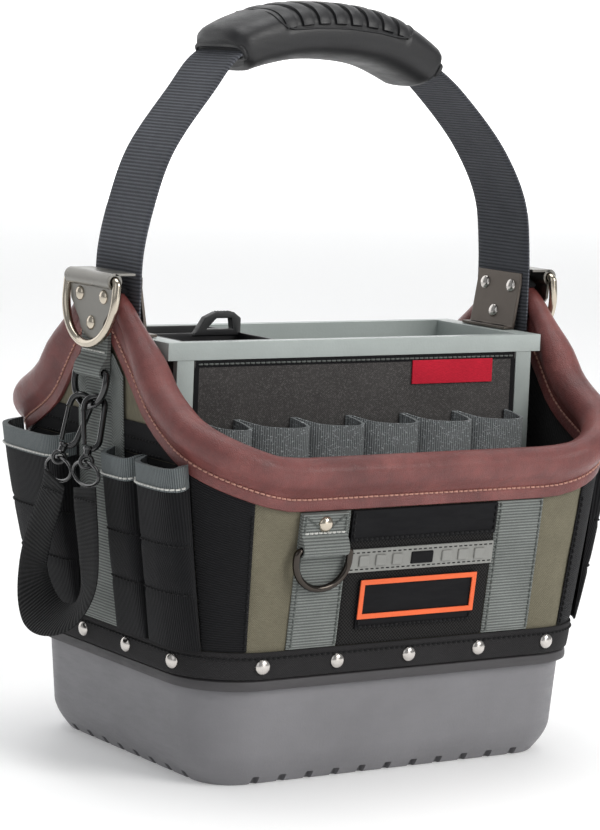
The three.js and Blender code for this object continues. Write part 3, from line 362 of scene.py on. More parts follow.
def sharp(thing, angle=40):
    """Shades a mesh smooth, with its edges sharp past an angle."""
    work = bmesh.new()
    work.from_mesh(thing.data)
    for edge in work.edges:
        edge.smooth = not (edge.is_manifold and edge.calc_face_angle(0) > math.radians(angle))
    work.to_mesh(thing.data)
    work.free()
    return thing


def loft(name, rings, material, loop=False, angle=40):
    """A skin over closed rings of points; the ends are capped unless the rings loop."""
    count = len(rings[0])
    points = [p for ring in rings for p in ring]
    along = runs([ring[0] for ring in rings] + ([rings[0][0]] if loop else []))
    middle = rings[len(rings) // 2]
    around = runs(list(middle) + [middle[0]])
    faces, uvs = [], []
    for i in range(len(rings) if loop else len(rings) - 1):
        for j in range(count):
            places = [(i, j), (i + 1, j), (i + 1, j + 1), (i, j + 1)]
            faces.append([(a % len(rings)) * count + b % count for a, b in places])
            uvs.extend((along[a], around[b]) for a, b in places)
    if not loop:
        for i, order in ((0, -1), (len(rings) - 1, 1)):
            centre = sum((Vector(p) for p in rings[i]), Vector()) / count
            points.append(centre)
            hub = len(points) - 1
            for j in range(count):
                pair = [(i * count + j, around[j]), (i * count + (j + 1) % count, around[j + 1])]
                faces.append([hub] + [p[0] for p in pair[::order]])
                uvs.extend([(along[i], around[j])] + [(along[i], p[1]) for p in pair[::order]])
    return outward(sharp(piece(name, points, faces, material, uvs), angle))


def frames(path, loop=False, normal=None):
    """For each point of a path: the point and two directions across it."""
    path = [Vector(p) for p in path]
    found = []
    side = None
    for i, point in enumerate(path):
        before = path[i - 1] if loop or i else path[0]
        after = path[(i + 1) % len(path)] if loop or i < len(path) - 1 else path[-1]
        ahead = (after - before).normalized()
        if normal is not None:
            up = Vector(normal).normalized()
            across = up.cross(ahead).normalized()
        else:
            if side is None:
                side = ahead.orthogonal().normalized()
            side = (side - ahead * side.dot(ahead)).normalized()
            up, across = side, ahead.cross(side).normalized()
        found.append((point, across, up))
    return found


def tube(name, path, radius, material, loop=False, sides=14, normal=None, radii=None):
    """A round bar along a path."""
    rings = []
    for i, (point, across, up) in enumerate(frames(path, loop, normal)):
        size = radii[i] if radii else radius
        turns = [2 * math.pi * k / sides for k in range(sides)]
        rings.append([point + across * size * math.cos(t) + up * size * math.sin(t) for t in turns])
    return loft(name, rings, material, loop)


def smooth_path(points, steps):
    """A finer path through points, by even splines."""
    pts = [Vector(p) for p in points]
    found = []
    for i in range(len(pts) - 1):
        a = pts[i - 1] if i else pts[0] * 2 - pts[1]
        b, c = pts[i], pts[i + 1]
        d = pts[i + 2] if i + 2 < len(pts) else c * 2 - b
        for k in range(steps):
            t = k / steps
            found.append(0.5 * (
                2 * b + (c - a) * t + (2 * a - 5 * b + 4 * c - d) * t**2
                + (3 * b - a - 3 * c + d) * t**3
            ))
    found.append(pts[-1])
    return found


def boxed(thing):
    """Maps a mesh in metres by the axis that each face looks along most."""
    mesh = thing.data
    layer = mesh.uv_layers.get("UVMap") or mesh.uv_layers.new(name="UVMap")
    for face in mesh.polygons:
        axis = max(range(3), key=lambda k: abs(face.normal[k]))
        for loop in face.loop_indices:
            at = mesh.vertices[mesh.loops[loop].vertex_index].co
            layer.data[loop].uv = ((at.y, at.z), (at.x, at.z), (at.x, at.y))[axis]


def prism(name, outline, depth, place, material, bevel=0.3, holes=()):
    """An outline of (u, v) pushed along w by a depth, centred, and put in place by place(u, v, w)."""
    work = bmesh.new()
    edges = []
    for line in (outline, *holes):
        verts = [work.verts.new((u, v, 0)) for u, v in line]
        edges += [work.edges.new((verts[i - 1], verts[i])) for i in range(len(verts))]
    bmesh.ops.triangle_fill(work, edges=edges, use_beauty=True)
    bmesh.ops.dissolve_limit(work, angle_limit=0.01, verts=work.verts, edges=work.edges)
    made = bmesh.ops.extrude_face_region(work, geom=work.faces[:])
    for item in made["geom"]:
        if isinstance(item, bmesh.types.BMVert):
            item.co.z = depth
    for vert in work.verts:
        vert.co = Vector(place(vert.co.x, vert.co.y, vert.co.z - depth / 2)) * MM
    bmesh.ops.recalc_face_normals(work, faces=work.faces)
    mesh = bpy.data.meshes.new(name)
    work.to_mesh(mesh)
    work.free()
    mesh.materials.append(material)
    shade_smooth(mesh)
    thing = added(name, mesh)
    boxed(thing)
    return rounded(thing, bevel)


def as_is(u, v, w):
    return (u, v, w)


def block(name, low, high, place, material, bevel=0.4):
    """A box with rounded edges between two corners (u, v, w), put in place by place(u, v, w)."""
    outline = [(low[0], low[1]), (high[0], low[1]), (high[0], high[1]), (low[0], high[1])]
    middle = (low[2] + high[2]) / 2
    return prism(
        name, outline, high[2] - low[2], lambda u, v, w: place(u, v, w + middle), material, bevel)


def joined(name, things):
    """Several meshes as one object."""
    bpy.context.view_layer.update()
    graph = bpy.context.evaluated_depsgraph_get()
    work = bmesh.new()
    materials = []
    for thing in things:
        mesh = thing.evaluated_get(graph).to_mesh()
        shift = []
        for item in thing.data.materials:
            if item not in materials:
                materials.append(item)
            shift.append(materials.index(item))
        start = len(work.faces)
        work.from_mesh(mesh)
        work.faces.ensure_lookup_table()
        for face in work.faces[start:]:
            face.material_index = shift[face.material_index] if shift else 0
        thing.evaluated_get(graph).to_mesh_clear()
    mesh = bpy.data.meshes.new(name)
    work.to_mesh(mesh)
    work.free()
    for item in materials:
        mesh.materials.append(item)
    for thing in things:
        bpy.data.objects.remove(thing)
    mesh.uv_layers.active = mesh.uv_layers.get("UVMap")
    return added(name, mesh)


def softened(node, name, material, width):
    """A copy of a frame node's solid with its doubles merged and its edges rounded."""
    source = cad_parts[node]
    work = bmesh.new()
    work.from_mesh(source.data)
    bmesh.ops.remove_doubles(work, verts=work.verts, dist=1e-6)
    bmesh.ops.dissolve_limit(
        work, angle_limit=math.radians(1), verts=work.verts, edges=work.edges
    )
    mesh = bpy.data.meshes.new(name)
    work.to_mesh(mesh)
    work.free()
    mesh.materials.clear()
    mesh.materials.append(material)
    shade_smooth(mesh)
    thing = added(name, mesh)
    boxed(thing)
    return rounded(thing, width, 3)


def finished(thing, body, slot, *nodes):
    """Seats a piece on its body and hides the frame nodes that it stands for; the slot argument is not used.
    """
    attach(thing, body)
    if nodes:
        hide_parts(*nodes)
    return thing


# Repeats by geometry nodes: one small shape set at each point, facing out and headed along.
def repeat_tree():
    tree = bpy.data.node_groups.get("Tote Repeat")
    if tree:
        return tree
    tree = bpy.data.node_groups.new("Tote Repeat", "GeometryNodeTree")
    for name, way, kind in (
        ("Geometry", "INPUT", "NodeSocketGeometry"), ("Shape", "INPUT", "NodeSocketObject"),
        ("Size", "INPUT", "NodeSocketFloat"), ("Finish", "INPUT", "NodeSocketMaterial"),
        ("Geometry", "OUTPUT", "NodeSocketGeometry"),
    ):
        tree.interface.new_socket(name, in_out=way, socket_type=kind)
    make, link = tree.nodes.new, tree.links.new
    source, result = make("NodeGroupInput"), make("NodeGroupOutput")
    points, spread = make("GeometryNodeMeshToPoints"), make("GeometryNodeInstanceOnPoints")
    shape, real = make("GeometryNodeObjectInfo"), make("GeometryNodeRealizeInstances")
    paint = make("GeometryNodeSetMaterial")
    facing, heading = make("GeometryNodeInputNamedAttribute"), make("GeometryNodeInputNamedAttribute")
    for node, name in ((facing, "facing"), (heading, "heading")):
        node.data_type = "FLOAT_VECTOR"
        node.inputs["Name"].default_value = name
    upright, turned = make("FunctionNodeAlignRotationToVector"), make("FunctionNodeAlignRotationToVector")
    upright.axis, turned.axis = "Z", "X"
    turned.pivot_axis = "Z"
    link(source.outputs["Geometry"], points.inputs[0])
    link(points.outputs[0], spread.inputs["Points"])
    link(source.outputs["Shape"], shape.inputs["Object"])
    link(shape.outputs["Geometry"], spread.inputs["Instance"])
    link(facing.outputs["Attribute"], upright.inputs["Vector"])
    link(upright.outputs[0], turned.inputs["Rotation"])
    link(heading.outputs["Attribute"], turned.inputs["Vector"])
    link(turned.outputs[0], spread.inputs["Rotation"])
    link(source.outputs["Size"], spread.inputs["Scale"])
    link(spread.outputs[0], real.inputs[0])
    link(real.outputs[0], paint.inputs["Geometry"])
    link(source.outputs["Finish"], paint.inputs["Material"])
    link(paint.outputs[0], result.inputs[0])
    return tree


def repeated(name, shape, places, material):
    """Copies of a small shape at places of (point, facing, heading), as one mesh."""
    mesh = bpy.data.meshes.new(name)
    mesh.from_pydata([tuple(Vector(p) * MM) for p, _, _ in places], [], [])
    for attribute, k in (("facing", 1), ("heading", 2)):
        layer = mesh.attributes.new(attribute, "FLOAT_VECTOR", "POINT")
        values = [tuple(Vector(place[k]).normalized()) for place in places]
        layer.data.foreach_set("vector", np.array(values, np.float32).ravel())
    thing = added(name, mesh)
    modifier = thing.modifiers.new("repeat", "NODES")
    modifier.node_group = repeat_tree()
    values = {"Shape": shape, "Size": 1.0, "Finish": material}
    for item in modifier.node_group.interface.items_tree:
        if item.item_type == "SOCKET" and item.in_out == "INPUT" and item.name in values:
            modifier[item.identifier] = values[item.name]
    thing.update_tag()
    bpy.context.view_layer.update()
    baked(thing)
    shade_smooth(thing.data)
    bpy.data.objects.remove(shape)
    return thing


def turned_shape(name, profile, sides, material):
    """A small lathed shape from (radius, height) rows, for repeats."""
    rings = [
        [Vector((r * math.cos(2 * math.pi * k / sides), r * math.sin(2 * math.pi * k / sides), h))
         for k in range(sides)] for r, h in profile
    ]
    return loft(name, rings, material, angle=60)


def stitch_shape(material, length, thick):
    """One stitch: a short thread that dips at both ends."""
    path = [(length * x, 0, thick * (0.55 - 2.2 * x * x)) for x in (-0.5, -0.38, -0.15, 0.15, 0.38, 0.5)]
    return tube("stitch", path, thick / 2, material, sides=6, normal=(0, 1, 0))


def stitched(name, path, facings, material, pitch=STITCH):
    """A row of stitches along a path of points with the directions that they face."""
    total = runs(path)
    count = max(int(total[-1] / pitch), 1)
    places = []
    for k in range(count):
        at = (k + 0.5) * total[-1] / count
        i = max(min(int(np.searchsorted(total, at)) - 1, len(path) - 2), 0)
        share = (at - total[i]) / max(total[i + 1] - total[i], 1e-6)
        a, b = Vector(path[i]), Vector(path[i + 1])
        facing = Vector(facings[i]).lerp(Vector(facings[i + 1]), share)
        places.append((a.lerp(b, share), facing, b - a))
    return repeated(name, stitch_shape(material, pitch * 0.66, THREAD), places, material)


# Finishes: each is a Principled shader with its pattern from Object coordinates or the UV map.
class Finish:
    """Builds one procedural material."""

    def __init__(self, name, roughness, metal=0.0, coat=0.0, sheen=0.0):
        self.material = bpy.data.materials.new(name)
        self.material.use_nodes = True
        self.tree = self.material.node_tree
        self.shader = self.tree.nodes["Principled BSDF"]
        self.shader.inputs["Roughness"].default_value = roughness
        self.shader.inputs["Metallic"].default_value = metal
        self.shader.inputs["Coat Weight"].default_value = coat
        self.shader.inputs["Coat Roughness"].default_value = 0.15
        self.shader.inputs["Sheen Weight"].default_value = sheen * 0.2
        self.shader.inputs["Specular IOR Level"].default_value = 0.5 if metal or roughness < 0.6 else 0.12
        self.shader.inputs["Sheen Roughness"].default_value = 0.5
        self.height = None

    def node(self, kind, **settings):
        made = self.tree.nodes.new(kind)
        for key, value in settings.items():
            if key in made.inputs:
                made.inputs[key].default_value = value
            else:
                setattr(made, key, value)
        return made

    def join(self, a, b):
        self.tree.links.new(a, b)

    def coordinates(self, kind="Object", scale=(1, 1, 1)):
        source = self.node("ShaderNodeTexCoord")
        mapping = self.node("ShaderNodeMapping", Scale=scale)
        self.join(source.outputs[kind], mapping.inputs["Vector"])
        return mapping.outputs["Vector"]

    def noise(self, at, scale, detail=4.0, rough=0.6):
        made = self.node("ShaderNodeTexNoise", Scale=scale, Detail=detail, Roughness=rough)
        self.join(at, made.inputs["Vector"])
        return made.outputs["Fac"]

    def cells(self, at, scale, feature="F1", output="Distance"):
        made = self.node("ShaderNodeTexVoronoi", feature=feature, Scale=scale)
        self.join(at, made.inputs["Vector"])
        return made.outputs[output]

    def maths(self, operation, a, b=0.0):
        made = self.node("ShaderNodeMath", operation=operation)
        for socket, value in zip(made.inputs, (a, b)):
            if isinstance(value, (int, float)):
                socket.default_value = value
            else:
                self.join(value, socket)
        return made.outputs[0]

    def parts(self, at):
        made = self.node("ShaderNodeSeparateXYZ")
        self.join(at, made.inputs[0])
        return made.outputs

    def wave(self, along, pitch, shift=0.0):
        """Rises and falls from 0 to 1 each pitch, in metres."""
        turn = self.maths("ADD", self.maths("MULTIPLY", along, 2 * math.pi / pitch), shift)
        return self.maths("ADD", self.maths("MULTIPLY", self.maths("SINE", turn), 0.5), 0.5)

    def ramp(self, share, *stops):
        made = self.node("ShaderNodeValToRGB")
        rows = made.color_ramp.elements
        while len(rows) < len(stops):
            rows.new(0.5)
        for row, (at, value) in zip(rows, stops):
            row.position = at
            row.color = (*value, 1) if isinstance(value, tuple) else (value, value, value, 1)
        self.join(share, made.inputs["Fac"])
        return made.outputs["Color"]

    def mixed(self, share, a, b, blend="MIX"):
        made = self.node("ShaderNodeMix", data_type="RGBA", blend_type=blend)
        for key, value in (("Factor", share), ("A", a), ("B", b)):
            socket = next(s for s in made.inputs if s.name == key and s.enabled)
            if isinstance(value, tuple):
                socket.default_value = (*value, 1)
            elif isinstance(value, (int, float)):
                socket.default_value = value
            else:
                self.join(value, socket)
        return next(s for s in made.outputs if s.enabled)

    def colour(self, output):
        self.join(output, self.shader.inputs["Base Color"])

    def rough(self, output):
        self.join(output, self.shader.inputs["Roughness"])

    def raise_by(self, height, distance, strength=1.0):
        """Adds relief of a height output, with a depth in metres."""
        made = self.node("ShaderNodeBump", Strength=strength, Distance=distance)
        self.join(height, made.inputs["Height"])
        if self.height is not None:
            self.join(self.height, made.inputs["Normal"])
        self.height = made.outputs["Normal"]
        self.join(self.height, self.shader.inputs["Normal"])


def dimmed(colour, share):
    return tuple(part * share for part in colour)


def worn(finish, colour, low=0.82, high=1.12, scale=22.0):
    """Slow patches of lighter and darker colour, as on handled goods."""
    patches = finish.noise(finish.coordinates(), scale, 6.0, 0.65)
    return finish.ramp(patches, (0.3, dimmed(colour, low)), (0.7, dimmed(colour, high)))


def plain_weave(name, colour, pitch=0.0011, roughness=0.85, sheen=0.25, fleck=0.0):
    """Plain woven cloth on the UV map, with optional pale flecks."""
    finish = Finish(name, roughness, sheen=sheen)
    at = finish.coordinates("UV")
    u, v, _ = finish.parts(at)
    over, under = finish.wave(u, pitch), finish.wave(v, pitch)
    weave = finish.maths("ADD", finish.maths("MULTIPLY", over, under), finish.maths(
        "MULTIPLY", finish.maths("SUBTRACT", 1.0, over), finish.maths("SUBTRACT", 1.0, under)))
    base = worn(finish, colour)
    # Colour by the weave's height, darker in its grooves: painted shade, together with the weave pattern
    # itself.
    shade = finish.ramp(weave, (0.2, 0.72), (0.9, 1.08))
    base = finish.mixed(0.8, base, shade, "MULTIPLY")
    slub = finish.noise(finish.coordinates("UV", (300, 1400, 1)), 1.0, 2.0)
    base = finish.mixed(0.35, base, finish.ramp(slub, (0.35, 0.75), (0.65, 1.2)), "MULTIPLY")
    if fleck:
        spots = finish.cells(finish.coordinates("UV", (2400, 2400, 1)), 1.0, output="Color")
        spot = finish.ramp(finish.parts(spots)[0], (1 - fleck, 0.0), (1 - fleck + 0.02, 1.0))
        base = finish.mixed(spot, base, dimmed(colour, 1.8))
    finish.colour(base)
    finish.raise_by(weave, 0.00035, 0.6)
    finish.raise_by(slub, 0.0003, 0.4)
    return finish.material


def ribbed_webbing(name, colour, rib, across, depth=0.0005, fleck=0.0):
    """Webbing that runs along u or v, with ribs across its run."""
    finish = Finish(name, 0.8, sheen=0.3)
    u, v, _ = finish.parts(finish.coordinates("UV"))
    run, side = (v, u) if across == "v" else (u, v)
    ribs = finish.wave(run, rib)
    yarn = finish.wave(side, rib * 0.42)
    weave = finish.maths("ADD", finish.maths("MULTIPLY", ribs, 0.7), finish.maths("MULTIPLY", yarn, 0.3))
    base = worn(finish, colour, 0.85, 1.12, 35.0)
    # Colour by rib height, darker in the grooves between ribs: painted shade, together with the rib pattern
    # itself.
    base = finish.mixed(0.85, base, finish.ramp(weave, (0.1, 0.3), (0.8, 1.2)), "MULTIPLY")
    fibre = finish.noise(finish.coordinates("UV", (900, 2600, 1)), 1.0, 3.0)
    base = finish.mixed(0.4, base, finish.ramp(fibre, (0.35, 0.6), (0.65, 1.35)), "MULTIPLY")
    if fleck:
        spots = finish.cells(finish.coordinates("UV", (1500, 2200, 1)), 1.0, output="Color")
        spot = finish.ramp(finish.parts(spots)[0], (1 - fleck, 0.0), (1 - fleck + 0.03, 1.0))
        base = finish.mixed(spot, base, dimmed(colour, 1.9))
    finish.colour(base)
    finish.raise_by(weave, depth, 0.8)
    finish.raise_by(fibre, 0.0002, 0.4)
    return finish.material


def twill(name, colour, pitch):
    """Cloth woven with a slanting rib."""
    finish = Finish(name, 0.8, sheen=0.3)
    u, v, _ = finish.parts(finish.coordinates("UV"))
    slant = finish.wave(finish.maths("ADD", u, finish.maths("MULTIPLY", v, 0.7)), pitch)
    yarn = finish.wave(finish.maths("SUBTRACT", u, v), pitch * 0.5)
    weave = finish.maths("ADD", finish.maths("MULTIPLY", slant, 0.75), finish.maths("MULTIPLY", yarn, 0.25))
    # Colour by the rib's height, darker in its grooves: painted shade, together with the slanting rib pattern
    # itself.
    shade = finish.ramp(weave, (0.1, 0.4), (0.8, 1.25))
    finish.colour(finish.mixed(0.85, worn(finish, colour), shade, "MULTIPLY"))
    finish.raise_by(weave, 0.0004, 0.7)
    return finish.material


def open_mesh(name, colour):
    """Knitted mesh with small round openings in rows."""
    finish = Finish(name, 0.7, sheen=0.2)
    u, v, _ = finish.parts(finish.coordinates("UV"))
    pitch = 0.0021
    rows = finish.maths("MULTIPLY", finish.wave(u, pitch), finish.wave(v, pitch))
    other = finish.maths("MULTIPLY", finish.wave(u, pitch, math.pi), finish.wave(v, pitch, math.pi))
    holes = finish.maths("ADD", rows, other)
    finish.colour(finish.ramp(holes, (0.35, dimmed(colour, 1.6)), (0.7, dimmed(colour, 0.25))))
    finish.raise_by(finish.maths("SUBTRACT", 1.0, holes), 0.0005, 0.8)
    return finish.material


def waxed_leather(name, colour, pale, dark):
    """Waxed leather with fine grain, creases and rubbed pale patches."""
    finish = Finish(name, 0.42, coat=0.08)
    at = finish.coordinates()
    patches = finish.noise(at, 34.0, 8.0, 0.62)
    base = finish.ramp(patches, (0.28, dark), (0.5, colour), (0.74, pale))
    fine = finish.noise(at, 190.0, 5.0, 0.65)
    base = finish.mixed(0.45, base, finish.ramp(fine, (0.3, 0.7), (0.7, 1.25)), "MULTIPLY")
    grain = finish.cells(at, 900.0, "DISTANCE_TO_EDGE")
    base = finish.mixed(0.3, base, finish.ramp(grain, (0.0, 0.55), (0.12, 1.0)), "MULTIPLY")
    finish.colour(base)
    finish.rough(finish.ramp(fine, (0.3, 0.34), (0.75, 0.56)))
    finish.raise_by(finish.ramp(grain, (0.0, 0.0), (0.2, 1.0)), 0.00025, 0.5)
    finish.raise_by(fine, 0.0006, 0.35)
    finish.raise_by(finish.noise(finish.coordinates("UV", (120, 30, 1)), 1.0, 3.0), 0.0012, 0.3)
    return finish.material


def moulded(name, colour, roughness=0.5, grain=0.00012, scale=1400.0, low=0.9, high=1.08):
    """Moulded plastic or rubber with a spark-eroded grain and faint scuffs."""
    finish = Finish(name, roughness)
    at = finish.coordinates()
    finish.colour(worn(finish, colour, low, high, 18.0))
    speck = finish.noise(at, scale, 2.0)
    scuff = finish.noise(finish.coordinates("Object", (1, 1, 6)), 60.0, 6.0, 0.75)
    finish.rough(finish.ramp(scuff, (0.35, roughness * 0.85), (0.7, min(roughness * 1.25, 1))))
    finish.raise_by(speck, grain, 0.5)
    return finish.material


def metal(name, colour, roughness=0.25, stretch=(1, 1, 1), relief=0.00006, scuffs=0.25):
    """Metal with a fine drawn or brushed grain along one axis and light scuffs."""
    finish = Finish(name, roughness, metal=1.0)
    grain = finish.noise(finish.coordinates("Object", stretch), 900.0, 3.0)
    wear = finish.noise(finish.coordinates(), 70.0, 6.0, 0.7)
    finish.colour(finish.ramp(wear, (0.3, dimmed(colour, 0.85)), (0.75, dimmed(colour, 1.1))))
    finish.rough(finish.ramp(wear, (0.3, roughness * (1 - scuffs)), (0.75, roughness * (1 + 2 * scuffs))))
    finish.raise_by(grain, relief, 0.5)
    return finish.material


def glossy(name, colour, roughness=0.12):
    """Gloss paint on metal, a little uneven."""
    finish = Finish(name, roughness, coat=0.6)
    wear = finish.noise(finish.coordinates(), 120.0, 4.0)
    finish.colour(finish.ramp(wear, (0.3, dimmed(colour, 0.8)), (0.75, dimmed(colour, 1.4))))
    finish.rough(finish.ramp(wear, (0.35, roughness), (0.8, roughness * 2.2)))
    finish.raise_by(wear, 0.0002, 0.2)
    return finish.material


def thread(name, colour):
    """Twisted sewing thread."""
    finish = Finish(name, 0.7, sheen=0.3)
    twist = finish.noise(finish.coordinates(), 1600.0, 3.0)
    finish.colour(finish.ramp(twist, (0.3, dimmed(colour, 0.7)), (0.7, dimmed(colour, 1.2))))
    finish.raise_by(twist, 0.0002, 0.6)
    return finish.material


COLOURS = {
    "tub": (119, 118, 121), "lip": (62, 60, 62), "band": (44, 43, 44), "olive": (118, 113, 96),
    "leather": (112, 58, 55), "leather_pale": (134, 76, 71), "leather_dark": (88, 42, 40),
    "thread_pale": (186, 140, 126), "thread_white": (205, 205, 200), "thread_dark": (100, 104, 101),
    "thread_black": (26, 26, 27),
    "webbing": (126, 130, 127), "mesh": (30, 29, 29), "label": (22, 22, 24), "strip": (134, 134, 130),
    "orange": (232, 98, 44), "tray": (168, 176, 173), "tray_cloth": (72, 70, 69), "loops": (126, 130, 131),
    "red": (206, 36, 58), "strap": (88, 90, 96), "grip": (24, 24, 26), "steel": (136, 134, 129),
    "ring": (198, 188, 172), "gunmetal": (105, 98, 92), "nickel": (205, 200, 195), "pocket": (27, 27, 29),
    "binding": (112, 118, 119), "gloss": (12, 12, 13), "black_strap": (22, 22, 23), "bin": (24, 24, 26),
    "lining": (40, 40, 40),
}
FINISHES = {}


def finish_of(name):
    """The material for a finish, made once from the colours in the panel."""
    if name in FINISHES:
        return FINISHES[name]
    look = bpy.context.scene.tote_colours
    sizes = bpy.context.scene.tote_sizes

    def c(key):
        return tuple(getattr(look, key))

    rib = sizes.rib_pitch
    makers = {
        "tub": lambda: moulded("Moulded Tub", c("tub"), 0.5, 0.0002, 900.0),
        "lip": lambda: moulded("Moulded Lip", c("lip"), 0.55),
        "band": lambda: plain_weave("Coated Band", c("band"), 0.0014, 0.75, 0.1),
        "olive": lambda: plain_weave("Olive Canvas", c("olive"), sizes.weave_pitch, 0.9, 0.2),
        "lining": lambda: plain_weave("Dark Lining", c("lining"), 0.0012, 0.85),
        "leather": lambda: waxed_leather("Waxed Leather", c("leather"), c("leather_pale"), c("leather_dark")),
        "webbing": lambda: ribbed_webbing("Grey Webbing", c("webbing"), rib, "v"),
        "mesh": lambda: open_mesh("Black Mesh", c("mesh")),
        "label": lambda: moulded("Black Label", c("label"), 0.68, 0.0001, 600.0, 0.85, 1.15),
        "strip": lambda: moulded("Grey Rubber", c("strip"), 0.55),
        "orange": lambda: moulded("Orange Border", c("orange"), 0.5),
        "tray": lambda: moulded("Tray Plastic", c("tray"), 0.4, 0.0002, 700.0, 0.88, 1.06),
        "tray_cloth": lambda: plain_weave("Tray Cloth", c("tray_cloth"), 0.0012, 0.9, 0.2, 0.16),
        "loops": lambda: ribbed_webbing("Speckled Webbing", c("loops"), rib * 0.8, "u", fleck=0.1),
        "red": lambda: plain_weave("Red Tab", c("red"), 0.0009, 0.7, 0.2),
        "strap": lambda: ribbed_webbing("Handle Webbing", c("strap"), rib * 1.25, "u", depth=0.0008),
        "grip": lambda: moulded("Rubber Grip", c("grip"), 0.46, 0.0002, 1100.0, 0.85, 1.12),
        "steel": lambda: metal("Brushed Steel", c("steel"), 0.34, (1, 1, 0.04)),
        "ring": lambda: metal("Chromed Wire", c("ring"), 0.14, (0.3, 0.3, 0.3), 0.00003, 0.2),
        "gunmetal": lambda: metal("Dark Plate", c("gunmetal"), 0.36, (1, 0.05, 1)),
        "nickel": lambda: metal("Nickel Rivet", c("nickel"), 0.2, (1, 1, 1), 0.00004),
        "pocket": lambda: ribbed_webbing("Black Webbing", c("pocket"), rib * 0.9, "u", depth=0.0006),
        "panel": lambda: plain_weave("Black Canvas", c("pocket"), 0.0012, 0.85, 0.2),
        "binding": lambda: ribbed_webbing("Grey Binding", c("binding"), rib * 0.8, "u"),
        "gloss": lambda: glossy("Gloss Black", c("gloss")),
        "black_strap": lambda: ribbed_webbing("Black Loop", c("black_strap"), rib * 1.4, "u", depth=0.0007),
        "bin": lambda: moulded("Black Bin", c("bin"), 0.45),
        "thread_pale": lambda: thread("Pale Thread", c("thread_pale")),
        "thread_white": lambda: thread("White Thread", c("thread_white")),
        "thread_dark": lambda: thread("Dark Thread", c("thread_dark")),
        "twill": lambda: twill("Black Twill", c("pocket"), rib * 0.9),
        "thread_black": lambda: thread("Black Thread", c("thread_black")),
        "dark_ring": lambda: metal(
            "Dark Wire", dimmed(c("gunmetal"), 0.45), 0.16, (0.3, 0.3, 0.3), 0.00003, 0.2),
        "corner": lambda: ribbed_webbing("Corner Webbing", c("pocket"), rib * 0.8, "v", depth=0.0005),
    }
    FINISHES[name] = makers[name]()
    return FINISHES[name]


# The tub, its lip, the cloth wall, the rim and the riveted band
def ring_places(half_length, half_width, corner):
    """Points with outward directions round a rounded rectangle, from the right going to the back."""
    found = []
    for sx, sy, start in ((1, 1, 0), (-1, 1, 90), (-1, -1, 180), (1, -1, 270)):
        centre = Vector((sx * (half_length - corner), sy * (half_width - corner), 0))
        for i in range(15):
            turn = math.radians(start + 90 * i / 14)
            out = Vector((math.cos(turn), math.sin(turn), 0))
            found.append((centre + out * corner, out))
    return found


def tub_spread(z):
    if z >= 20:
        return lerp(0.78, 1, (z - 20) / 36.7)
    return 0.78 * math.sin(z / 20 * math.pi / 2)


def tub_ring(z, inset=0.0):
    spread = tub_spread(z)
    places = ring_places(
        lerp(115.9, 130.2, spread) - inset, lerp(89.5, 101.5, spread) - inset,
        lerp(22.1, 34.6, spread) - inset,
    )
    return [p + Vector((0, 0, z)) for p, _ in places]


def make_tub():
    rings = [tub_ring(0, 1.2), tub_ring(0.35, 0.35), tub_ring(1.2)]
    rings += [tub_ring(z) for z in (3, 5, 7, 9, 11.5, 14, 16.5, 18.5, 20, 22, 30, 40, 50, 55.6)]
    rings += [tub_ring(56.4, 0.3), tub_ring(56.7, 1.2), tub_ring(56.7, 3.4), tub_ring(56.2, 4.4)]
    rings += [tub_ring(z, 4.5) for z in (50, 30, 20, 14, 10)] + [tub_ring(6.5, 5.4), tub_ring(5, 8)]
    tub = loft("moulded_tub", rings, finish_of("tub"), angle=32)
    cutters = []
    for half, reach, along_x in ((115.9, 89.5, True), (89.5, 115.9, False)):
        count = int((2 * (half - 22.1)) // 18)
        for k in range(count + 1):
            at = (k - count / 2) * 18
            for side in (-1, 1):
                ends = sorted((side * (reach - 3), side * (reach + 20)))
                low, high = (at - 2.5, ends[0], -2), (at + 2.5, ends[1], 5)
                if not along_x:
                    low, high = (low[1], low[0], -2), (high[1], high[0], 5)
                cutters.append(block("notch", low, high, as_is, finish_of("tub"), 0.9))
    notches = joined("notches", cutters)
    cut = tub.modifiers.new("notches", "BOOLEAN")
    cut.operation, cut.solver, cut.object = "DIFFERENCE", "EXACT", notches
    baked(tub)
    bpy.data.objects.remove(notches)
    finished(sharp(tub, 32), "bag", "tub", "base_tub")


def make_lip():
    places = ring_places(134.6, 105.9, 39)
    section = [
        (-8.6, 57.0), (-0.8, 57.0), (-0.2, 57.3), (0, 58), (0, 60.4), (-0.35, 62.2), (-1.6, 63.2),
        (-3, 63.4), (-8.6, 63.4),
    ]
    rings = [[p + out * off + Vector((0, 0, z)) for off, z in section] for p, out in places]
    finished(loft("tub_lip", rings, finish_of("lip"), loop=True), "bag", "flange", "base_flange")


def make_body():
    shares = (0, 0.12, 0.28, 0.44, 0.6, 0.76, 0.9)

    def column(station, rim, off, puff):
        points = []
        for share in shares:
            z = lerp(BODY_LOW, FRONT_RIM - FLAP_DROP, share)
            along = station_along(station, z)
            swell = 0.0
            if puff and station[0] in ("front", "back"):
                fold = math.exp(-(((abs(along) - 97) / 8) ** 2))
                swell = 1.1 * fold * math.sin(math.pi * min(share * 1.05, 1))
            if puff and is_side(station[0]):
                swell = 0.22 * (math.sin(along / 9 + z / 23) + math.sin(z / 11 - along / 17))
            points.append(on_wall(station[0], along, z, off + swell))
        for across in (-FLAP_DROP, -12, -6, -2.5):
            points.append(across_rim(rim, across, off))
        return points

    places = list(zip(stations(), RIM))
    outer = [column(s, r, 0, True) for s, r in places]
    inner = [column(s, r, -WALL, False) for s, r in places]
    body = sheet("canvas_body", outer, inner, finish_of("olive"), wrap=True, lining=finish_of("lining"))
    finished(body, "bag", "olive", "body_shell")


def chosen_pitch():
    """The panel's stitch pitch in millimetres."""
    return bpy.context.scene.tote_sizes.stitch_pitch / MM


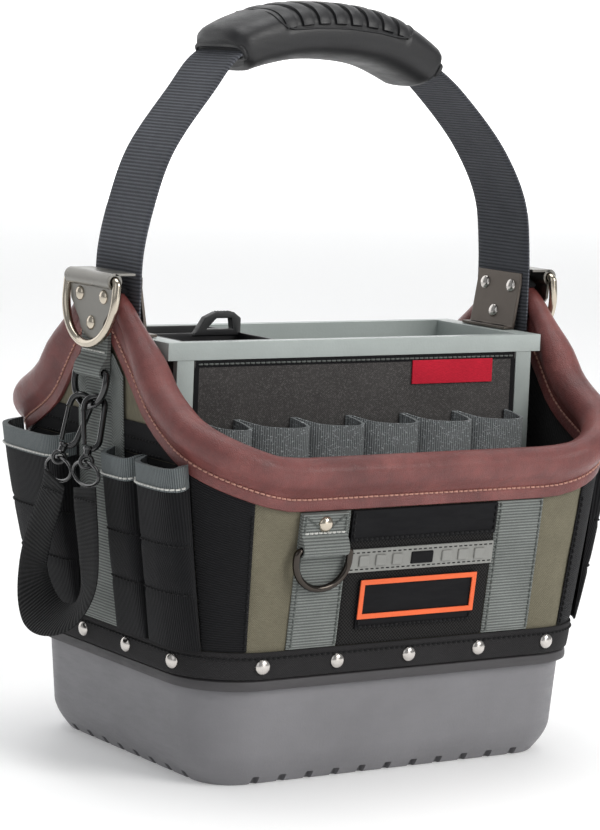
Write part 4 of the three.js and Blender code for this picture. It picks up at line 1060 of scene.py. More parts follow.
def make_rim():
    rings = []
    for place in RIM:
        roll = place[4]
        top = max(-roll * 1.12 + 0.3, -11.4)
        outside = [
            (2.2, -19.5), (2.75, -19.1), (2.95, -17.5), (3.0, -14.8), (2.75, -13.4), (2.35, -12.6),
            (2.7, -11.9), (3.0, top),
        ]
        rolled = [(-1.5 + u * roll, v * roll) for u, v in arc(0, 0, 1, 1, -52, 232, 22)]
        inside = [(-WALL - off, across) for off, across in reversed(outside)]
        slot = [(-WALL - FLAP_GAP, -19.5), (-WALL - FLAP_GAP, -1.6), (FLAP_GAP, -1.6), (FLAP_GAP, -19.5)]
        rings.append([across_rim(place, v, u) for u, v in outside + rolled + inside + slot])
    finished(loft("leather_rim", rings, finish_of("leather"), loop=True), "bag", "leather", "rim_trim")
    for name, off, sign in (("rim_stitches_outside", 2.5, 1), ("rim_stitches_inside", -WALL - 2.5, -1)):
        loop = RIM + RIM[:1]
        path = [across_rim(place, -12.6, off) for place in loop]
        facing = [wall_facing(place[0], place[1], place[2]) * sign for place in loop]
        row = stitched(name, path, facing, finish_of("thread_pale"), chosen_pitch())
        finished(row, "bag", "leather")


def rivet_shape(radius, rise):
    profile = [
        (0.01, -0.3), (radius, -0.3), (radius, rise * 0.1), (radius * 0.95, rise * 0.32),
        (radius * 0.8, rise * 0.62), (radius * 0.55, rise * 0.86), (radius * 0.25, rise * 0.98), (0.01, rise),
    ]
    return turned_shape("rivet", profile, 20, finish_of("nickel"))


def make_band():
    section = [
        (0.5, 63.7), (1.9, 63.7), (2.3, 64.2), (2.45, 67), (2.5, 71), (2.4, 74.6), (2.05, 75.7),
        (2.35, 76.8), (2.3, 78.6), (1.9, 79.2), (0.5, 79.2),
    ]
    wall = stations()
    rings = [[on_wall(s[0], station_along(s, z), z, off) for off, z in section] for s in wall]
    finished(loft("riveted_band", rings, finish_of("band"), loop=True), "bag", "band", "skirt_band")
    z = 75.7
    loop = wall + wall[:1]
    path = [on_wall(s[0], station_along(s, z), z, 2.25) for s in loop]
    facing = [wall_facing(s[0], station_along(s, z), z) for s in loop]
    finished(stitched("band_stitches", path, facing, finish_of("thread_black"), 3.6), "bag", "band")
    places = []
    for face in FACES:
        count = max(round(2 * straight_at(face, RIVET_LEVEL) / RIVET_PITCH), 1) + 1
        for k in range(count):
            along = (k - (count - 1) / 2) * RIVET_PITCH
            facing = wall_facing(face, along, RIVET_LEVEL)
            places.append((on_wall(face, along, RIVET_LEVEL, 2.45), facing, (0, 0, 1)))
    rivets = repeated("band_rivets", rivet_shape(4.6, 2.6), places, finish_of("nickel"))
    finished(rivets, "bag", "band")


def edged(share, soft=0.05):
    """How full a sewn layer is across its width: thin at its two edges."""
    away = min(share, 1 - share)
    return 0.4 + 0.6 * math.sqrt(min(away / soft, 1))


def wall_sheet(
        name, face, place, low, high, offset, thick, material, columns=24, rows=14, soft=0.05, puff=0.0):
    """A sewn layer on the wall, full in its middle and thinner at its edges."""
    def grid(outer):
        made = []
        for i in range(columns + 1):
            share = (1 - math.cos(math.pi * i / columns)) / 2 * 0.6 + i / columns * 0.4
            bottom, top = low(share), high(share)
            column = []
            for j in range(rows + 1):
                up = (1 - math.cos(math.pi * j / rows)) / 2 * 0.6 + j / rows * 0.4
                z = lerp(bottom, top, up)
                full = edged(share, soft) * edged(up, 0.02)
                extra = 0
                if outer:
                    extra = thick * full + puff * math.sin(math.pi * share) * math.sin(math.pi * up)
                column.append(on_wall(face, place(share, z), z, offset(share, up) + extra))
            made.append(column)
        return made
    return sheet(name, grid(True), grid(False), material)


def always(value):
    return lambda *_: value


def wall_stitches(face, points, off, material, pitch=STITCH):
    """A stitch row along (along, z) points on a face."""
    path = [on_wall(face, along, z, off) for along, z in points]
    facing = [wall_facing(face, along, z) for along, z in points]
    return stitched("row", path, facing, material, pitch)


# The front: webbings, corner panels, mesh, labels and the small ring on its tab
def make_front_cloth():
    pitch = chosen_pitch()
    for side, sign in (("left", -1), ("right", 1)):
        web = wall_sheet(
            f"front_web_{side}", "front", lambda share, z: sign * lerp(50.5, 83.5, share),
            always(BAND_TOP), always(FLAP_LINE), always(LAYER), 1.6, finish_of("webbing"), soft=0.04,
        )
        finished(web, "bag", "webbing", f"front_webbing_{side}")
        rows = [wall_stitches(
            "front", [(sign * x, z) for z in (BAND_TOP + 1, 118, FLAP_LINE - 0.5)], LAYER + 1.55,
            finish_of("thread_dark"), pitch) for x in (52.6, 81.4)]
        finished(joined(f"front_web_stitches_{side}", rows), "bag", "webbing")

        def panel_along(share, z, side=side):
            return -lerp(SIDE_HALF, straight_at(side, z) + CORNER_RUN - 12.7, share)

        def panel_top(share, side=side):
            return flap_edge(side, panel_along(share, FLAP_LINE, side)) + 4

        panel = wall_sheet(
            f"corner_cloth_{side}", side, panel_along, always(BAND_TOP), panel_top, always(LAYER), 1.0,
            finish_of("corner"), 40, 20, puff=0.3,
        )
        finished(panel, "bag", "pocket", f"corner_panel_{side}")
        edge = [
            (-(straight_at(side, z) + CORNER_RUN - 14), z) for z in (BAND_TOP + 1, 118, FLAP_LINE - 0.5)]
        row = wall_stitches(side, edge, LAYER + 1.0, finish_of("thread_black"), pitch)
        finished(joined(f"corner_stitches_{side}", [row]), "bag", "pocket")
    mesh = wall_sheet(
        "front_mesh", "front", lambda share, z: lerp(-FRONT_HALF, FRONT_HALF, share), always(BAND_TOP),
        always(FLAP_LINE), always(LAYER), 1.0, finish_of("mesh"), soft=0.01,
    )
    finished(mesh, "bag", "mesh", "front_panel")


def front_block(name, left, right, low, high, foot, thick, material, bevel=0.4):
    return block(name, (left, low, foot), (right, high, foot + thick), on_front, material, bevel)


def front_row(points, out, material, pitch=STITCH):
    path = [on_front(x, up, out) for x, up in points]
    return stitched("row", path, [FRONT_OUT] * len(path), material, pitch)


SLOPE_TOP = up_slope(FLAP_LINE)
LABEL_FOOT = 1.8


def hemmed(half, foot, top, out, pitch=STITCH):
    """Stitches along a label's foot and up its two sides."""
    lines = ([(-half, foot), (half, foot)], [(-half, foot), (-half, top)], [(half, foot), (half, top)])
    return [front_row(line, out, finish_of("thread_black"), pitch) for line in lines]


def make_labels():
    half = FRONT_HALF
    low = SLOPE_TOP * 0.772
    label = front_block(
        "upper_label_face", -half, half, low, SLOPE_TOP, LABEL_FOOT, 1.2, finish_of("label"), 0.5)
    finished(label, "bag", "label", "upper_label")
    rows = hemmed(48.4, low + 1.5, SLOPE_TOP - 1, LABEL_FOOT + 1.2)
    finished(joined("upper_label_stitches", rows), "bag", "label")

    top, tall = SLOPE_TOP * 0.715, SLOPE_TOP * 0.171
    strip = front_block("strip_base", -half, half, top - tall, top, LABEL_FOOT, 1.6, finish_of("strip"), 0.6)
    blocks = [strip]
    for step in (-3.5, -2.5, -1.5, 1.5, 2.5, 3.5):
        middle = step * half / 4.4
        blocks.append(front_block(
            "raised", middle - half * 0.07, middle + half * 0.07, top - tall * 0.74, top - tall * 0.26,
            LABEL_FOOT + 0.9, 1.8, finish_of("strip"), 0.7))
    blocks.append(front_block(
        "badge", -7.5, 7.5, top - tall * 0.76, top - tall * 0.24, LABEL_FOOT + 0.9, 1.5,
        finish_of("label"), 0.6))
    finished(joined("rubber_strip_face", blocks), "bag", "strip", "rubber_strip")
    dash = block("dash", (-1.0, -0.32, -0.3), (1.0, 0.32, 0.25), as_is, finish_of("label"), 0.15)
    places = []
    for up in (top - 1.9, top - tall + 1.9):
        for k in range(28):
            point = on_front(lerp(-47.5, 47.5, k / 27), up, LABEL_FOOT + 1.6)
            places.append((point, FRONT_OUT, (1, 0, 0)))
    finished(repeated("strip_dashes", dash, places, finish_of("label")), "bag", "strip")

    border_top = SLOPE_TOP * 0.488
    border_low = border_top - SLOPE_TOP * 0.291
    lower = border_low - SLOPE_TOP * 0.076
    plate = front_block(
        "label_face", -LABEL_HALF, LABEL_HALF, lower, border_top, LABEL_FOOT, 1.2, finish_of("label"), 0.4)
    finished(plate, "bag", "label", "label_plate")

    def border_line(inset):
        side, foot, head = LABEL_HALF - inset, border_low + inset, border_top - inset
        return [(-side, foot), (side, foot), (side, head), (-side, head)]

    border = prism(
        "label_border", border_line(0), 0.9,
        lambda u, v, w: on_front(u, v, LABEL_FOOT + 1.2 + SEAT + 0.45 + w),
        finish_of("orange"), 0.3, [border_line(3.0)])
    finished(border, "bag", "orange", "label_frame")
    rows = hemmed(38.4, lower + 1.4, border_low - 0.6, LABEL_FOOT + 1.3, 3.0)
    finished(joined("label_stitches", rows), "bag", "label")


def tab_outline(eye, length, layers):
    """A webbing tab folded round a ring's bar: (out, up), with the bar at the origin."""
    return [
        (-eye, length), (-eye, 0), *arc(0, 0, eye, eye, 180, 360, 18)[1:], (eye * 0.93, eye * 0.55),
        (eye * 0.7, eye * 1.1), (eye * 0.3, eye * 1.7), (-eye + layers + 0.4, eye * 2.3),
        (-eye + layers, eye * 2.9), (-eye + layers, length),
    ]


def ring_tab(name, length, place):
    """A webbing tab with an eye for a ring's bar, put in place by place(out, up, along)."""
    hole = arc(0, 0, TAB_HOLE, TAB_HOLE, 0, 342, 19)
    outline = tab_outline(TAB_EYE, length, TAB_LAYERS)
    return prism(name, outline, 30, place, finish_of("webbing"), 0.25, [hole])


def d_path(half, drop, corner, steps=36):
    """A ring's D in (u, v): its bar lies along u through the origin and it hangs along -v."""
    shoulder = max(corner, drop * 0.25)
    bar = [(lerp(-half + corner, half - corner, k / 8), 0) for k in range(1, 8)]
    return [
        *arc(half - corner, -corner, corner, corner, 90, 0, 8),
        *arc(0, -shoulder, half, drop - shoulder, 0, -180, steps)[1:],
        *arc(-half + corner, -corner, corner, corner, 180, 90, 8)[1:], *bar,
    ]


def make_front_ring():
    middle_x, bar_up = -69.0, up_slope(158 - 0.5) - 20
    foot = 2.3 + TAB_EYE

    def place(out, up, along):
        return on_front(middle_x + along, bar_up + up, foot + out)

    tab = ring_tab("ring_tab", SLOPE_TOP - bar_up, place)
    top = foot - TAB_EYE + TAB_LAYERS
    rivet_place = (on_front(middle_x, bar_up + 14.4, top), FRONT_OUT, (1, 0, 0))
    rivet = repeated("ring_tab_rivet", rivet_shape(4.6, 2.6), [rivet_place], finish_of("ring"))
    left, right = middle_x - 13.4, middle_x + 13.4
    low, high = bar_up + 9.6, SLOPE_TOP - 1
    lines = [
        ([(left, high), (middle_x, low + 0.6), (right, high)], "thread_dark"),
        ([(left, low), (right, low)], "thread_white"),
        ([(left, low), (left, high)], "thread_dark"), ([(right, low), (right, high)], "thread_dark"),
    ]
    rows = [front_row(points, top + 0.1, finish_of(colour), 2.8) for points, colour in lines]
    finished(tab, "bag", "webbing", "front_ring_tab")
    finished(rivet, "bag", "webbing")
    finished(joined("ring_tab_stitches", rows), "bag", "webbing")
    path = [place(0, v, u) for u, v in d_path(17.6, 22.5, 3)]
    ring = tube("front_ring", path, 2.0, finish_of("dark_ring"), loop=True, normal=FRONT_OUT)
    finished(ring, "bag", "gunmetal", "front_d_ring")


# The sides: bands, webbing and pockets with bound mouths
# Each pocket's name, start and end along the wall, top and depth.
POCKETS = (
    ("rear", 26.99, 96.96, 186, 16.0),
    ("middle", -51.04, -17.99, 184, 12.5),
    ("front", -92.99, -53.97, 184, 11.5),
)
POCKET_BASE = 3.6
POCKET_SEAMS = (112, 140)
POCKET_HEM = 13
POCKET_RISE = [(0, 0.16), (0.12, 0.3), (0.45, 0.62), (0.75, 0.86), (1, 1)]
POCKET_ACROSS = [(0, 0), (0, 0.62), (0.1, 0.9), (0.28, 1), (0.72, 1), (0.9, 0.9), (1, 0.62), (1, 0)]


def pocket_line(start, end, depth):
    """A smooth line across a pocket: (along, off)."""
    corners = [Vector((lerp(start, end, a), POCKET_BASE + out * depth, 0)) for a, out in POCKET_ACROSS]
    line = [corners[0]]
    for i in range(1, len(corners) - 1):
        before, at, after = corners[i - 1], corners[i], corners[i + 1]
        a, b = at.lerp(before, 0.42), at.lerp(after, 0.42)
        line += [a, (a * 0.25 + at * 0.5 + b * 0.25), b]
    line.append(corners[-1])
    return line


def pocket_dip(point, share, depth):
    """How far a pocket's cloth sags below its level where it stands off the wall."""
    return max(3 * share * min((point.y - POCKET_BASE) / max(depth * share, 1), 1), 0)


def pocket_grid(face, pocket, low, high, rows, swell, thick):
    """Outer and inner grids of a pocket's cloth between two heights."""
    _, start, end, top, depth = pocket
    full = top - BAND_TOP
    grids = []
    for inset in (swell, swell - thick):
        levels = []
        for j in range(rows + 1):
            z = lerp(low, high, j / rows)
            share = (z - BAND_TOP) / full
            seam = sum(math.exp(-(((z - at) / 2.2) ** 2)) for at in POCKET_SEAMS) * 0.7
            line = pocket_line(start, end, depth * read(POCKET_RISE, share))
            levels.append((z, share, frames(line, normal=(0, 0, 1)), inset - seam * (thick < 3)))
        columns = []
        for i in range(len(levels[0][2])):
            column = []
            for z, share, places, push in levels:
                point, across, _ = places[i]
                moved = point
                if i not in (0, len(places) - 1):
                    moved = point - across * push if across.y < 0 else point + across * push
                dip = pocket_dip(point, share, depth)
                column.append(on_wall(face, moved.x, z - dip, max(moved.y, POCKET_BASE)))
            columns.append(column)
        grids.append(columns)
    return grids


def make_side(face):
    def band_top(share):
        return min(flap_edge(face, lerp(-SIDE_HALF, SIDE_HALF, share)) + 2, 200)

    def band_low(share):
        return min(182, band_top(share) - 4)

    band = wall_sheet(
        f"{face}_cross_band", face, lambda share, z: lerp(-SIDE_HALF, SIDE_HALF, share), band_low,
        band_top, always(LAYER), 1.0, finish_of("panel"), 90, 6,
    )
    finished(band, "bag", "pocket", f"{face}_band")
    backing = wall_sheet(
        f"{face}_backing", face, lambda share, z: lerp(-91.6, 91.6, share), always(BAND_TOP),
        always(181.6), always(LAYER), 0.8, finish_of("panel"), 60, 6,
    )
    finished(backing, "bag", "pocket")
    rows = [
        wall_stitches(
            face, [(lerp(-66, 66, k / 12), z) for k in range(13)], LAYER + 1.0, finish_of("thread_black"))
        for z in (183.6, 191)]
    finished(joined(f"{face}_band_stitches", rows), "bag", "pocket")

    def web_top(share):
        at = lerp(-WIDE_HALF, WIDE_HALF, share)
        return min(236, min(flap_edge(face, at + step) for step in (-4, 0, 4)) - 0.6)

    web = wall_sheet(
        f"{face}_web", face, lambda share, z: lerp(-WIDE_HALF, WIDE_HALF, share), always(BAND_TOP),
        web_top, always(1.8), 1.5, finish_of("webbing"), 24, 24, 0.03,
    )
    finished(web, "bag", "webbing", f"{face}_webbing")
    for pocket in POCKETS:
        name, start, end, top, depth = pocket
        edge = top - POCKET_HEM
        outer, inner = pocket_grid(face, pocket, BAND_TOP, edge - SEAT, 26, 0, 2.0)
        cloth = sheet(f"{face}_pocket_cloth_{name}", outer, inner, finish_of("pocket"))
        zoned(cloth, *POCKET_SEAMS, finish_of("twill"))
        finished(cloth, "bag", "pocket", f"{face}_pocket_{name}")
        outer, inner = pocket_grid(face, pocket, edge, top, 6, 0.47, 3.2)
        hem = sheet(f"{face}_pocket_hem_{name}", outer, inner, finish_of("binding"))
        finished(hem, "bag", "binding", f"{face}_binding_{name}")
        rows = []
        seams = [(z, "thread_black", -0.6) for z in POCKET_SEAMS]
        for z, thread_name, off in ((edge + 1.6, "thread_white", 0.55), *seams):
            share = (z - BAND_TOP) / (top - BAND_TOP)
            line = pocket_line(start, end, depth * read(POCKET_RISE, share))[1:-1]
            path, facing = [], []
            for point, across, _ in frames(line, normal=(0, 0, 1)):
                turn = -across if across.y < 0 else across
                a = point + turn * off
                b = a + turn
                path.append(on_wall(face, a.x, z - pocket_dip(point, share, depth), a.y))
                facing.append(on_wall(face, b.x, z, b.y) - on_wall(face, a.x, z, a.y))
            rows.append(stitched("row", path, facing, finish_of(thread_name), 3.2))
        finished(joined(f"{face}_pocket_stitches_{name}", rows), "bag", "pocket")


# Metal at the two ends of the handle
PLATE_IN = reach_at("right", HUMP_RIM) - WALL / 2 + 6.1 + SEAT
SLEEVE_X = PLATE_IN + 1.44
SLEEVE_Z = 277.0


def make_end_metal(side):
    sign = -1 if side == "left" else 1

    def turned(x, y, z):
        return Vector((sign * x, y, z))

    drop = 36
    bottom = SLEEVE_Z - drop + 2
    outline = [
        (25, SLEEVE_Z - 3.6), (-25, SLEEVE_Z - 3.6), (-24, SLEEVE_Z - drop * 0.36),
        *arc(0, bottom + 15, 15, 15, 198, 342, 24), (24, SLEEVE_Z - drop * 0.36),
    ]
    plate = prism(
        "plate", outline, 1.8, lambda u, v, w: turned(PLATE_IN + 0.9 + w, u, v), finish_of("steel"),
        0.45)
    circle = arc(0, 0, 4.7, 4.7, 0, 352.5, 47)
    bore = arc(0, 0, 3.0, 3.0, 0, 345, 23)
    sleeve = prism(
        "sleeve", circle, 50, lambda u, v, w: turned(SLEEVE_X + u, w, SLEEVE_Z + v),
        finish_of("steel"), 0.25, [bore])
    top = SLEEVE_Z + 4.7
    flange = block(
        "flange", (139.15, -25, top - 1.6), (SLEEVE_X, 25, top - 0.02), turned, finish_of("steel"), 0.3)
    metal_piece = joined(f"{side}_end_plate", [plate, sleeve, flange])
    finished(metal_piece, "bag", "steel", f"{side}_outer_plate")
    face = PLATE_IN + 1.8
    places = [
        (turned(face, y, SLEEVE_Z - fall), (sign, 0, 0), (0, 0, 1))
        for y, fall in ((-13.5, 9.5), (13.5, 9.5), (0, 25))]
    rivets = repeated(f"{side}_plate_rivets", rivet_shape(4.2, 1.9), places, finish_of("ring"))
    finished(rivets, "bag", "steel")

    tilt = math.radians(5)
    path = [
        turned(SLEEVE_X - v * math.sin(tilt), u, SLEEVE_Z + v * math.cos(tilt))
        for u, v in d_path(28, 37, 3.0, 48)]
    ring = tube(
        f"{side}_ring", path, 2.5, finish_of("ring"), loop=True, sides=18,
        normal=(sign * math.cos(tilt), 0, math.sin(tilt)))
    finished(ring, f"{side}_ring", "steel", f"{side}_d_ring")

    near = [s for s in RIM if s[0] == "right" and abs(s[1]) <= 19.2]
    grids = []
    for extra in (2.9, 0.5):
        grid = []
        for place in near:
            column = []
            for k, (u, v) in enumerate(arc(0, 0, 1, 1, 74, 132, 12)):
                soft = 0.5 if k in (0, 12) and extra > 1 else 0
                size = place[4] + extra - soft
                point = across_rim(place, v * size, u * size - WALL / 2)
                column.append(turned(*point))
            grid.append(column)
        grids.append(grid)
    pad = sheet(f"{side}_saddle", grids[0], grids[1], finish_of("panel"))
    finished(pad, "bag", "band", f"{side}_saddle_pad")

    foot, tall, lean = 245.1, 34, 4.4
    high = 135.8 - 1.35 - SEAT
    low = high - lean
    profile = [
        (low - 8, foot), (low, foot), (high, foot + tall - 6), (high, foot + tall),
        (high - 1.8, foot + tall), (high - 1.8, foot + tall - 6), (low - 1.8, foot + 1.8),
        (low - 8, foot + 1.8),
    ]
    plate = prism(
        f"{side}_inner_metal", profile, 43, lambda u, v, w: turned(u, w, v), finish_of("gunmetal"), 0.4)
    finished(plate, "bag", "gunmetal", f"{side}_inner_plate")
    inward = Vector((-tall, 0, lean)).normalized()
    places = []
    for y, rise in ((-13, 26), (13, 26), (0, 9.5)):
        x = lerp(low, high, rise / (tall - 6)) - 1.8
        places.append((turned(x, y, foot + rise), turned(*inward), (0, 1, 0)))
    rivets = repeated(f"{side}_inner_rivets", rivet_shape(4.2, 1.9), places, finish_of("nickel"))
    finished(rivets, "bag", "gunmetal")
    slots = [
        block("slot", (low - 5.5, y - 5, foot + 1.75), (low - 3.5, y + 5, foot + 1.95), turned,
              finish_of("label"), 0.08)
        for y in (-11, 11)]
    finished(joined(f"{side}_foot_slots", slots), "bag", "gunmetal")


# What hangs at the left end: a tab, a ring, two snap hooks on small rings and a webbing loop
HANG_X = -(reach_at("left", 236) + POCKET_BASE) - TAB_EYE
HANG_Z = 224.7


def make_hanging():
    tab = ring_tab("hang_tab_cloth", 22.8, lambda u, v, w: Vector((HANG_X - u, w, HANG_Z + v)))
    finished(tab, "bag", "webbing", "hang_tab")
    face = HANG_X + TAB_EYE - TAB_LAYERS - 0.1
    rows = []
    for z in (HANG_Z + 11.5, HANG_Z + 20.5):
        rows.append(stitched(
            "row", [(face, -13, z), (face, 13, z)], [(-1, 0, 0)] * 2, finish_of("thread_white"), 2.9))
    finished(joined("hang_tab_stitches", rows), "bag", "webbing")

    tilt = math.radians(6)
    path = [
        (HANG_X + v * math.sin(tilt), u, HANG_Z + v * math.cos(tilt)) for u, v in d_path(17.8, 20, 3)]
    ring = tube(
        "hang_ring_wire", path, 2.0, finish_of("gloss"), loop=True,
        normal=(-math.cos(tilt), 0, math.sin(tilt)))
    finished(ring, "bag", "gloss", "hang_ring")

    drop, length = 5.8, 31
    ends = []
    # Each hook's place on the ring and where its foot swings to: out, along.
    for name, top, foot in (("rear", (1.2, 5.5), (-10.6, 12)), ("front", (1.2, -7.5), (-10.6, -18))):
        bow = 5 + 15 * math.sqrt(1 - (top[1] / 17.8) ** 2)
        bow_top = HANG_Z - bow * math.cos(tilt) + 2 + 1.8 + 0.8
        start = Vector((HANG_X - bow * math.sin(tilt) + top[0], top[1], bow_top))
        end = Vector((start.x + foot[0], foot[1], bow_top - length - 2.5))
        down = (end - start).normalized()
        facing = Vector((-0.82, 0.57, 0))
        across = (facing - down * facing.dot(down)).normalized()
        normal = across.cross(down).normalized()

        def at(u, v, start=start, across=across, down=down):
            return start + across * u + down * v

        bend = [
            at(drop, 9), *[at(*p) for p in arc(0, drop, drop, drop, 0, -180, 16)],
            at(-drop, length * 0.72),
            *[at(*p) for p in arc(0, length * 0.8, drop, length * 0.2, 170, 90, 8)]]
        frame_bar = tube("bow", bend, 1.8, finish_of("gloss"), normal=normal, sides=16)
        barrel = tube(
            "barrel", [at(0, length + t) for t in (-1.6, -1, 0.2, 0.8, 3.2, 3.8, 4.4)], 2.9,
            finish_of("gloss"), normal=normal, sides=20, radii=[2.2, 2.9, 2.9, 2.3, 2.3, 2.9, 2.2])
        eye = tube(
            "eye", [at(*p) for p in arc(0, length + 7.4, 3.4, 3.4, 0, 345, 23)], 1.2,
            finish_of("gloss"), loop=True, normal=normal)
        hook = joined(f"hook_{name}", [frame_bar, barrel, eye])
        finished(hook, "bag", "gloss", f"snap_hook_{name}")
        gate = tube(
            f"gate_{name}_bar", [at(drop, 9.42), at(drop - 0.5, 12), at(2.9, 26.5), at(2.6, 28.6)], 1.4,
            finish_of("gloss"), normal=normal, sides=14)
        finished(gate, f"gate_{name}", "gloss", f"snap_gate_{name}")
        middle = at(0, length + 7.4) + Vector((0, 0, -6.6))
        ends.append(middle)
        oval = [middle + Vector((0, u, v)) for u, v in arc(0, 0, 14.5, 6.6, 0, 352.5, 47)]
        ring = tube(
            f"oval_ring_{name}", oval, 1.1, finish_of("gloss"), loop=True, normal=(-1, 0, 0), sides=12)
        finished(ring, "bag", "gloss", f"small_ring_{name}")

    # The loop's line: along the wall, fall below the ring's bar, how far out and turn in degrees.
    rows = (
        (13, 62.7, 0, 0), (17, 74.7, 0, 0), (27, 94.7, 0.05, 3), (32, 114.7, 0.2, 10), (25, 130.7, 0.45, 28),
        (9, 139.7, 0.7, 48), (-10, 139.7, 0.7, 48), (-26, 130.7, 0.45, 28), (-33, 114.7, 0.2, 10),
        (-30, 94.7, 0.1, 3), (-24, 74.7, 0, 0), (-22, 62.7, 0, 0),
    )
    hung = ends[0].x - 1.1 - SEAT - 0.8
    path = smooth_path([(hung - out * 9, y, HANG_Z - fall) for y, fall, out, _ in rows], 8)
    turns = smooth_path([(turn, 0, 0) for *_, turn in rows], 8)
    grids = [[], []]
    for i, point in enumerate(path):
        ahead = (path[min(i + 1, len(path) - 1)] - path[max(i - 1, 0)]).normalized()
        turn = math.radians(turns[i].x)
        level = ahead.cross(Vector((1, 0, 0))).normalized()
        width = (level * math.cos(turn) + Vector((1, 0, 0)) * math.sin(turn)).normalized()
        out = width.cross(ahead).normalized()
        for grid, way in zip(grids, (1, -1)):
            column = []
            for k in range(9):
                share = k / 8
                thick = out * way * 0.8 * edged(share, 0.12)
                column.append(point + width * lerp(-12.5, 12.5, share) + thick)
            grid.append(column)
    loop = sheet("webbing_loop", grids[0], grids[1], finish_of("black_strap"))
    finished(loop, "bag", "blackStrap", "strap_loop")
    rows = []
    for point in (path[5], path[-6]):
        seam = [point + Vector((-1.0, side, 0)) for side in (-11, 11)]
        rows.append(stitched("row", seam, [(-1, 0, 0)] * 2, finish_of("thread_black"), 3.0))
    finished(joined("webbing_loop_stitches", rows), "bag", "blackStrap")


# The handle: webbing in a plane, a rubber grip with a ribbed recess
STRAP_FOOT, STRAP_HALF, GRIP_MIDDLE = 240.0, 135.8, 436.5 - 16.5
STRAP_PATH = [
    (-1, 0), (-1, 0.15), (-0.995, 0.293), (-0.948, 0.45), (-0.87, 0.607), (-0.686, 0.798), (-0.557, 0.914),
    (-0.31, 0.985), (-0.037, 1), (0.23, 0.972), (0.482, 0.878), (0.63, 0.789), (0.835, 0.625), (0.96, 0.457),
    (0.995, 0.287), (1, 0.15), (1, 0),
]


def centripetal(points, steps):
    """A path through points by centripetal splines, at even distances along it."""
    pts = [Vector(p) for p in points]
    pts = [pts[0] * 2 - pts[1], *pts, pts[-1] * 2 - pts[-2]]
    fine = []
    for i in range(1, len(pts) - 2):
        p0, p1, p2, p3 = pts[i - 1:i + 3]
        d0, d1, d2 = (max((b - a).length ** 0.5, 1e-4) for a, b in ((p0, p1), (p1, p2), (p2, p3)))
        t1 = ((p1 - p0) / d0 - (p2 - p0) / (d0 + d1) + (p2 - p1) / d1) * d1
        t2 = ((p2 - p1) / d1 - (p3 - p1) / (d1 + d2) + (p3 - p2) / d2) * d1
        for k in range(40):
            t = k / 40
            c2 = -3 * p1 + 3 * p2 - 2 * t1 - t2
            c3 = 2 * p1 - 2 * p2 + t1 + t2
            fine.append(p1 + t1 * t + c2 * t**2 + c3 * t**3)
    fine.append(pts[-2])
    total = runs(fine)
    even = []
    for k in range(steps + 1):
        at = total[-1] * k / steps
        i = max(min(int(np.searchsorted(total, at)) - 1, len(fine) - 2), 0)
        even.append(fine[i].lerp(fine[i + 1], (at - total[i]) / max(total[i + 1] - total[i], 1e-9)))
    return even, total[-1]


STRAP_STEPS = 400
STRAP, STRAP_LENGTH = centripetal(
    [(a * STRAP_HALF, 0, lerp(STRAP_FOOT, GRIP_MIDDLE, r)) for a, r in STRAP_PATH], STRAP_STEPS)
GRIP_START = 0.5 - 75 / STRAP_LENGTH + 0.004
GRIP_END = GRIP_START + 143 / STRAP_LENGTH
GRIP_SIZE = [(0, 0.8), (0.03, 0.86), (0.2, 0.95), (0.5, 1), (0.8, 0.95), (0.97, 0.86), (1, 0.8)]


def strap_at(share):
    """A point of the strap's middle line at a share of its length, its outward side and its run."""
    at = min(max(share, 0), 1) * STRAP_STEPS
    i = min(int(at), STRAP_STEPS - 1)
    point = STRAP[i].lerp(STRAP[i + 1], at - i)
    ahead = (STRAP[min(i + 2, STRAP_STEPS)] - STRAP[max(i - 1, 0)]).normalized()
    return point, Vector((-ahead.z, 0, ahead.x)), ahead


def make_strap():
    grids = [[], []]
    steps = 150
    for i in range(steps + 1):
        point, out, _ = strap_at(i / steps)
        for grid, way in zip(grids, (1, -1)):
            column = []
            for k in range(17):
                share = k / 16
                side = abs(share - 0.5) * 2
                cord = 0.35 * math.exp(-(((side - 0.93) / 0.05) ** 2))
                thick = 1.15 * min(edged(share, 0.03), 1) + cord
                column.append(point + Vector((0, lerp(-WIDE_HALF, WIDE_HALF, share), 0)) + out * way * thick)
            grid.append(column)
    strap = sheet("handle_webbing", grids[0], grids[1], finish_of("strap"))
    finished(strap, "bag", "strap", "handle_strap")


def squared(turn, power_u, power_v):
    """A place on a circle of radius 1 that is swelled towards a square."""
    u, v = math.cos(turn), math.sin(turn)
    return math.copysign(abs(u) ** power_u, u), math.copysign(abs(v) ** power_v, v)


def grip_point(along, turn, lift=0.0):
    """A point on the grip: its share along it and a turn round it, from the side over the top."""
    point, out, _ = strap_at(lerp(GRIP_START, GRIP_END, along))
    size = read(GRIP_SIZE, along)
    u, v = squared(turn, 0.72, 0.72)
    wide, tall = 29 * (1 + size) / 2 + lift, 16.5 * size + lift
    return point + Vector((0, u * wide, 0)) + out * v * tall


RECESS = 0.06


def grip_recess(along, turn):
    """How deep the ribbed recess is at a place on the grip."""
    inside = min(
        (along - 0.2) / 0.025, (0.8 - along) / 0.025, (turn - RECESS) / 0.1, (math.pi - RECESS - turn) / 0.1)
    return -1.5 * min(max(inside, 0), 1)


